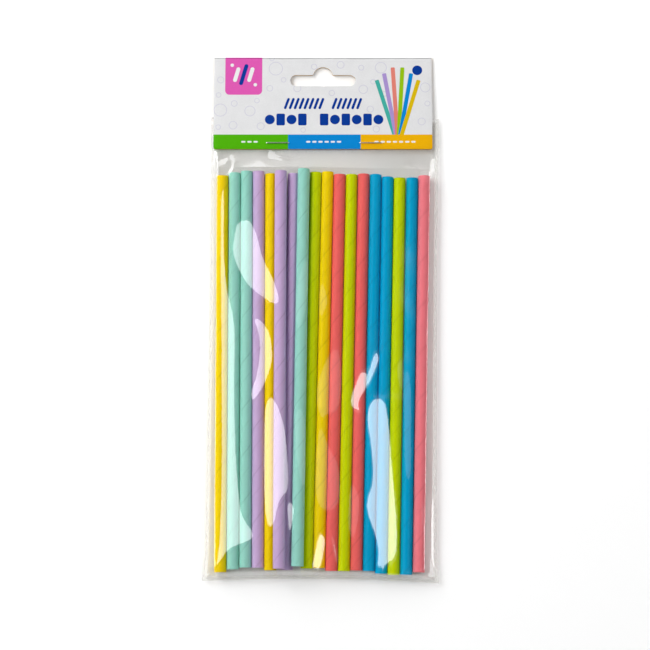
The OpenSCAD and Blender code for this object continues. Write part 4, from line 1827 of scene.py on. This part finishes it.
@dataclass
class HeaderCard:
    """Folded card with a hang hole through both panels, in millimetres.

    Attributes:
        layout: Where the card lies.
        finish: Its material values.
        card_print: Its print.
        board: Thickness of the board.
        corner: Radius of the lower corners.
        slot_width: Width of the hang hole.
        wing: Height of its wings.
        dome: Radius of its dome.
        dome_rise: Height of the dome's centre above the wings' line.
        slot_drop: Distance from the fold down to the wings' line.
        bow: Rise of a panel's bow off the flat.
        bow_wave: Turn of the bow's wave, in radians a millimetre, and where it starts.
        bow_in: How far a panel may bow inwards.
        fold_steps: Faces round the fold.
        rings: Faces between the hang hole and the panel's edge.
        nearest: Smallest turn between two directions round the hang hole, in radians.
        spots: Points on a wing, the dome, the hole's foot, a corner, and a panel's ends and sides.
    """

    layout: PackLayout
    finish: BoardFinish = BoardFinish()
    card_print: CardPrint = field(default_factory=CardPrint)
    board: float = 0.35
    corner: float = 1.0
    slot_width: float = 33.0
    wing: float = 5.8
    dome: float = 5.1
    dome_rise: float = 2.0
    slot_drop: float = 12.4
    bow: float = 0.10
    bow_wave: tuple[float, float] = (0.055, 0.4)
    bow_in: float = 0.05
    fold_steps: int = 10
    rings: int = 22
    nearest: float = 2e-4
    spots: tuple[int, int, int, int, int, int] = (15, 25, 25, 7, 41, 19)

    @property
    def half_width(self) -> float:
        """Half width of the card, from its CAD node."""
        low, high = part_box("header_card")
        return (high.x - low.x) / 2 / MM

    @property
    def fold_radius(self) -> float:
        """Radius of the fold at the middle of the board."""
        return (self.layout.card_thick - self.board) / 2

    @property
    def _wing(self) -> tuple[float, float]:
        """Distance of each wing's round end from the middle, and its radius."""
        return (self.slot_width - self.wing) / 2, self.wing / 2

    @property
    def _panel_top(self) -> float:
        """Top of the flat panel, above the hang hole's middle."""
        return self.slot_drop - self.layout.card_thick / 2

    @property
    def _panel_foot(self) -> float:
        """Lower edge of the card, above the hang hole's middle."""
        return self.slot_drop - self.layout.card_height

    def _angles(self) -> Array:
        """Directions from the hang hole's middle to points spread along both outlines."""
        (wing_x, wing_r), w, r = self._wing, self.half_width, self.corner
        top, foot = self._panel_top, self._panel_foot
        on_wing, on_dome, on_base, on_corner, on_end, on_side = self.spots
        wing = arc(wing_x, 0, wing_r, np.linspace(-np.pi / 2, np.pi / 2, on_wing))
        dome = arc(0, self.dome_rise, self.dome, np.linspace(0.15, np.pi - 0.15, on_dome))
        base = line(np.linspace(-wing_x, wing_x, on_base), -wing_r)
        corner = arc(w - r, foot + r, r, -np.linspace(0, np.pi / 2, on_corner))
        along, up = np.linspace(-w, w, on_end), np.linspace(foot, top, on_side)
        points = np.vstack([
            wing, wing * [-1, 1], dome, base, line(along, top), line(along, foot),
            line(w, up), line(-w, up), corner, corner * [-1, 1]])
        angle = np.sort(np.arctan2(points[:, 1], points[:, 0]))
        return angle[np.append(True, np.diff(angle) > self.nearest)]

    @staticmethod
    def _disc_reach(way: Pair, disc: tuple[float | Array, float, float]) -> Array:
        """Distance at which a line from the middle leaves a disc.

        Along the unit vector d it is d . c + sqrt((d . c)^2 - |c|^2 + r^2), with c the
        disc's centre, and 0 where the line misses the disc.

        Args:
            way: X and Y of each direction.
            disc: X and Y of the disc's centre, and its radius.

        Returns:
            The distance in each direction.
        """
        (x, y), (cx, cy, radius) = way, disc
        along = x * cx + y * cy
        inside = along**2 - cx**2 - cy**2 + radius**2
        return np.where(inside > 0, along + np.sqrt(np.maximum(inside, 0)), 0)

    def _hole_reach(self, angle: Array) -> Array:
        """Distance from the middle to the hang hole's edge.

        It is the farthest edge of a box |x| < a, |y| < r, two discs of radius r at
        x = +-a, and the dome's disc.
        """
        way, (wing_x, wing_r) = (np.cos(angle), np.sin(angle)), self._wing
        x, y = (np.maximum(np.abs(part), 1e-9) for part in way)
        box = np.minimum(wing_x / x, wing_r / y)
        discs = ((wing_x, 0, wing_r), (-wing_x, 0, wing_r), (0, self.dome_rise, self.dome))
        return np.maximum.reduce([box, *(self._disc_reach(way, disc) for disc in discs)])

    def _panel_reach(self, angle: Array) -> Array:
        """Distance from the hang hole's middle to the panel's edge, with its round corners."""
        way = x, y = np.cos(angle), np.sin(angle)
        w, foot, r = self.half_width, self._panel_foot, self.corner
        upright = np.where(y > 0, self._panel_top, foot) / np.where(np.abs(y) < 1e-9, 1e-9, y)
        reach = np.minimum(w / np.maximum(np.abs(x), 1e-9), np.abs(upright))
        met = self._disc_reach(way, (np.sign(x) * (w - r), foot + r, r))
        corner = (np.abs(reach * x) > w - r) & (reach * y < foot + r) & (met > 0)
        return np.where(corner, met, reach)

    def _panel(self) -> Pair:
        """X and the height above the fold of one panel's points, shaped (rings, angles)."""
        angle = self._angles()
        inner, outer = self._hole_reach(angle), self._panel_reach(angle)
        share = np.linspace(0, 1, self.rings + 1)[:, None] ** 1.5
        reach = inner + (outer - inner) * share
        return reach * np.cos(angle), reach * np.sin(angle) - self.slot_drop

    def _folded(self, x: Array, y: Array, side: int) -> Array:
        """Places of a panel in the card's own frame: front at side 1, back at side -1.

        Each panel bows slightly off the flat, by bow * sin(pi * share)^2 * cos(wave), where
        the share runs from 0 at the fold to 1 at the lower edge and the wave runs across.

        Args:
            x: Places across the card.
            y: Places below the fold, negative.
            side: Which panel.

        Returns:
            The places, as X, Y and Z.
        """
        turn, start = self.bow_wave
        rise = np.sin(np.pi * np.clip(-y / self.layout.card_height, 0, 1)) ** 2
        bow = np.maximum(self.bow * rise * np.cos(x * turn + start) * side, -self.bow_in)
        z = self.layout.card_thick / 2 + side * (self.fold_radius + bow)
        return np.stack([x, y, z], axis=-1)

    def shell(self) -> Shell:
        """Makes both panels and the half round between them, whose seams are still open."""
        x, y = self._panel()
        panels = []
        for side in (1, -1):
            points, flat = self._folded(x, y, side), line(x, side * y)
            flat = np.concatenate([flat, flat[:, :1]], axis=1)
            points, flat = points[::side], flat[::side]
            panels.append(Shell.of_grid(points, flat, wrap_columns=True))
        top = np.isclose(y[-1], self._panel_top - self.slot_drop)
        turn = np.linspace(np.pi / 2, -np.pi / 2, self.fold_steps + 1)[:, None]
        across = np.sort(x[-1][top]) + 0 * turn
        bend = arc(y[-1][top][0], self.layout.card_thick / 2, self.fold_radius, turn + 0 * across)
        fold = np.concatenate([across[..., None], bend], axis=-1)
        shell = panels[0].joined(panels[1])
        shell = shell.joined(Shell.of_grid(fold, line(across, -turn * self.fold_radius)))
        shell.points = self.layout.on_card(shell.points)
        return shell

    def build(self, groups: SharedGroups) -> bpy.types.Object:
        """Makes the card, merged at the fold, with its thickness from a modifier."""
        piece = self.shell().piece("folded_card")
        weld_doubles(piece, 0.004)
        wall = piece.modifiers.new("board", "SOLIDIFY")
        wall.thickness, wall.offset, wall.material_offset_rim = self.board * MM, 0.0, 1
        crisp = piece.modifiers.new("crisp edges", "WEIGHTED_NORMAL")
        crisp.weight, crisp.keep_sharp = 100, False
        piece.data.materials.append(self.finish.printed(groups, self.card_print))
        piece.data.materials.append(self.finish.cut_edge(groups))
        return place(piece, Slot.BOARD, "header_card")


def weld_doubles(piece: bpy.types.Object, distance: float) -> None:
    """Merges a piece's vertices that are closer than so many millimetres."""
    work = bmesh.new()
    work.from_mesh(piece.data)
    bmesh.ops.remove_doubles(work, verts=work.verts, dist=distance * MM)
    work.to_mesh(piece.data)
    work.free()


# Staples


@dataclass
class Staple:
    """Staple through the card: crown in front, legs, and ends clinched behind.

    Attributes:
        layout: Where the card lies.
        node: Name of its CAD node.
        x: Middle of the staple, across the card.
        crown: Length of the crown.
        wire: Width of the wire.
        thin: Thickness of the wire across the card.
        clinch: Length of each clinched end.
        clear: Clearance over the board.
        bend: Radius of the bends.
        girth: Distance round the wire.
        square: Power that draws the wire's round section out towards a box.
        tips: How far each cut end's last two rings lie past it, and their size.
    """

    layout: PackLayout
    node: str
    x: float
    crown: float = 12.0
    wire: float = 0.55
    thin: float = 0.46
    clinch: float = 4.0
    clear: float = 0.08
    bend: float = 0.355
    girth: float = 1.8
    square: float = 0.7
    tips: tuple[tuple[float, float], ...] = ((0.06, 0.02), (0.04, 0.75))

    def _path(self) -> Array:
        """Middle line of the wire in the card's X and Z, from one clinched end to the other."""
        leg = (self.crown - self.wire) / 2
        top = self.layout.card_thick + self.clear + self.wire / 2
        foot, turn = -self.clear - self.wire / 2, leg - self.bend
        quarter = np.linspace(0, np.pi / 2, 9)
        low = line(np.linspace(turn - self.clinch, turn, 9), foot)
        low_bend = arc(turn, foot + self.bend, self.bend, quarter - np.pi / 2)
        high_bend = arc(turn, top - self.bend, self.bend, quarter)
        half = np.vstack([low, low_bend[1:], high_bend, [[leg / 2, top]]])
        return np.vstack([half, [[0, top]], half[::-1] * [-1, 1]])

    def shell(self) -> Shell:
        """Carries a flattened round section along the wire and closes both ends.

        The section is (wire / 2) c across and (thin / 2) s off the path, where c and s are
        cos a and sin a with their sizes raised to the power that squares the section.

        Returns:
            The staple's shell.
        """
        path = self._path()
        step = np.gradient(path, axis=0)
        along = step / np.linalg.norm(step, axis=1, keepdims=True)
        off = line(-along[:, 1], along[:, 0])
        angle = np.linspace(0, 2 * np.pi, 16, endpoint=False)
        across, deep = (
            size / 2 * np.sign(wave) * np.abs(wave) ** self.square
            for size, wave in ((self.wire, np.cos(angle)), (self.thin, np.sin(angle))))
        past, small = (np.array(values) for values in zip(*self.tips))
        size = np.concatenate([small, np.ones(len(path)), small[::-1]])[:, None]
        path = np.vstack([
            path[0] - along[0] * past[:, None], path, path[-1] + along[-1] * past[::-1, None]])
        off = off[np.clip(np.arange(len(path)) - len(past), 0, len(off) - 1)]
        ring = path[:, None, :] + (size * deep)[:, :, None] * off[:, None, :]
        y = -self.layout.staple_drop + size * across
        points = np.stack([self.x + ring[..., 0], y, ring[..., 1]], axis=-1)
        run = np.append(0, np.cumsum(np.linalg.norm(np.diff(path, axis=0), axis=1)))
        around = np.linspace(0, self.girth, len(angle) + 1)
        uv = np.stack(np.meshgrid(around, run), axis=-1)
        return Shell.of_grid(self.layout.on_card(points), uv, wrap_columns=True)

    def build(self, material: bpy.types.Material) -> bpy.types.Object:
        """Makes the staple's piece with its ends closed."""
        piece = self.shell().piece(f"wire_{self.node}")
        weld_doubles(piece, 0.02)
        piece.data.materials.append(material)
        return place(piece, Slot.WIRE, self.node)


def main() -> None:
    """Builds the pack around its frame, then the studio."""
    logging.basicConfig(level=logging.INFO, format="%(name)s %(message)s")
    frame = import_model()
    groups, view, layout = SharedGroups(), View(), PackLayout.of_frame()
    straws = [
        Straw.of_node(number, frame["nodes"][f"straw_{number:02d}"])
        for number in range(1, len(STRAW_PAPERS) + 1)
    ]
    for straw in straws:
        straw.build(groups)
    FilmBag(layout, straws, view).build()
    HeaderCard(layout).build(groups)
    wire = WireFinish().material("staple wire")
    for node, x in (("staple_left", -22.9), ("staple_right", 24.3)):
        Staple(layout, node, x).build(wire)
    Studio().build(view)
    view.build()


if __name__ == "__main__":
    main()
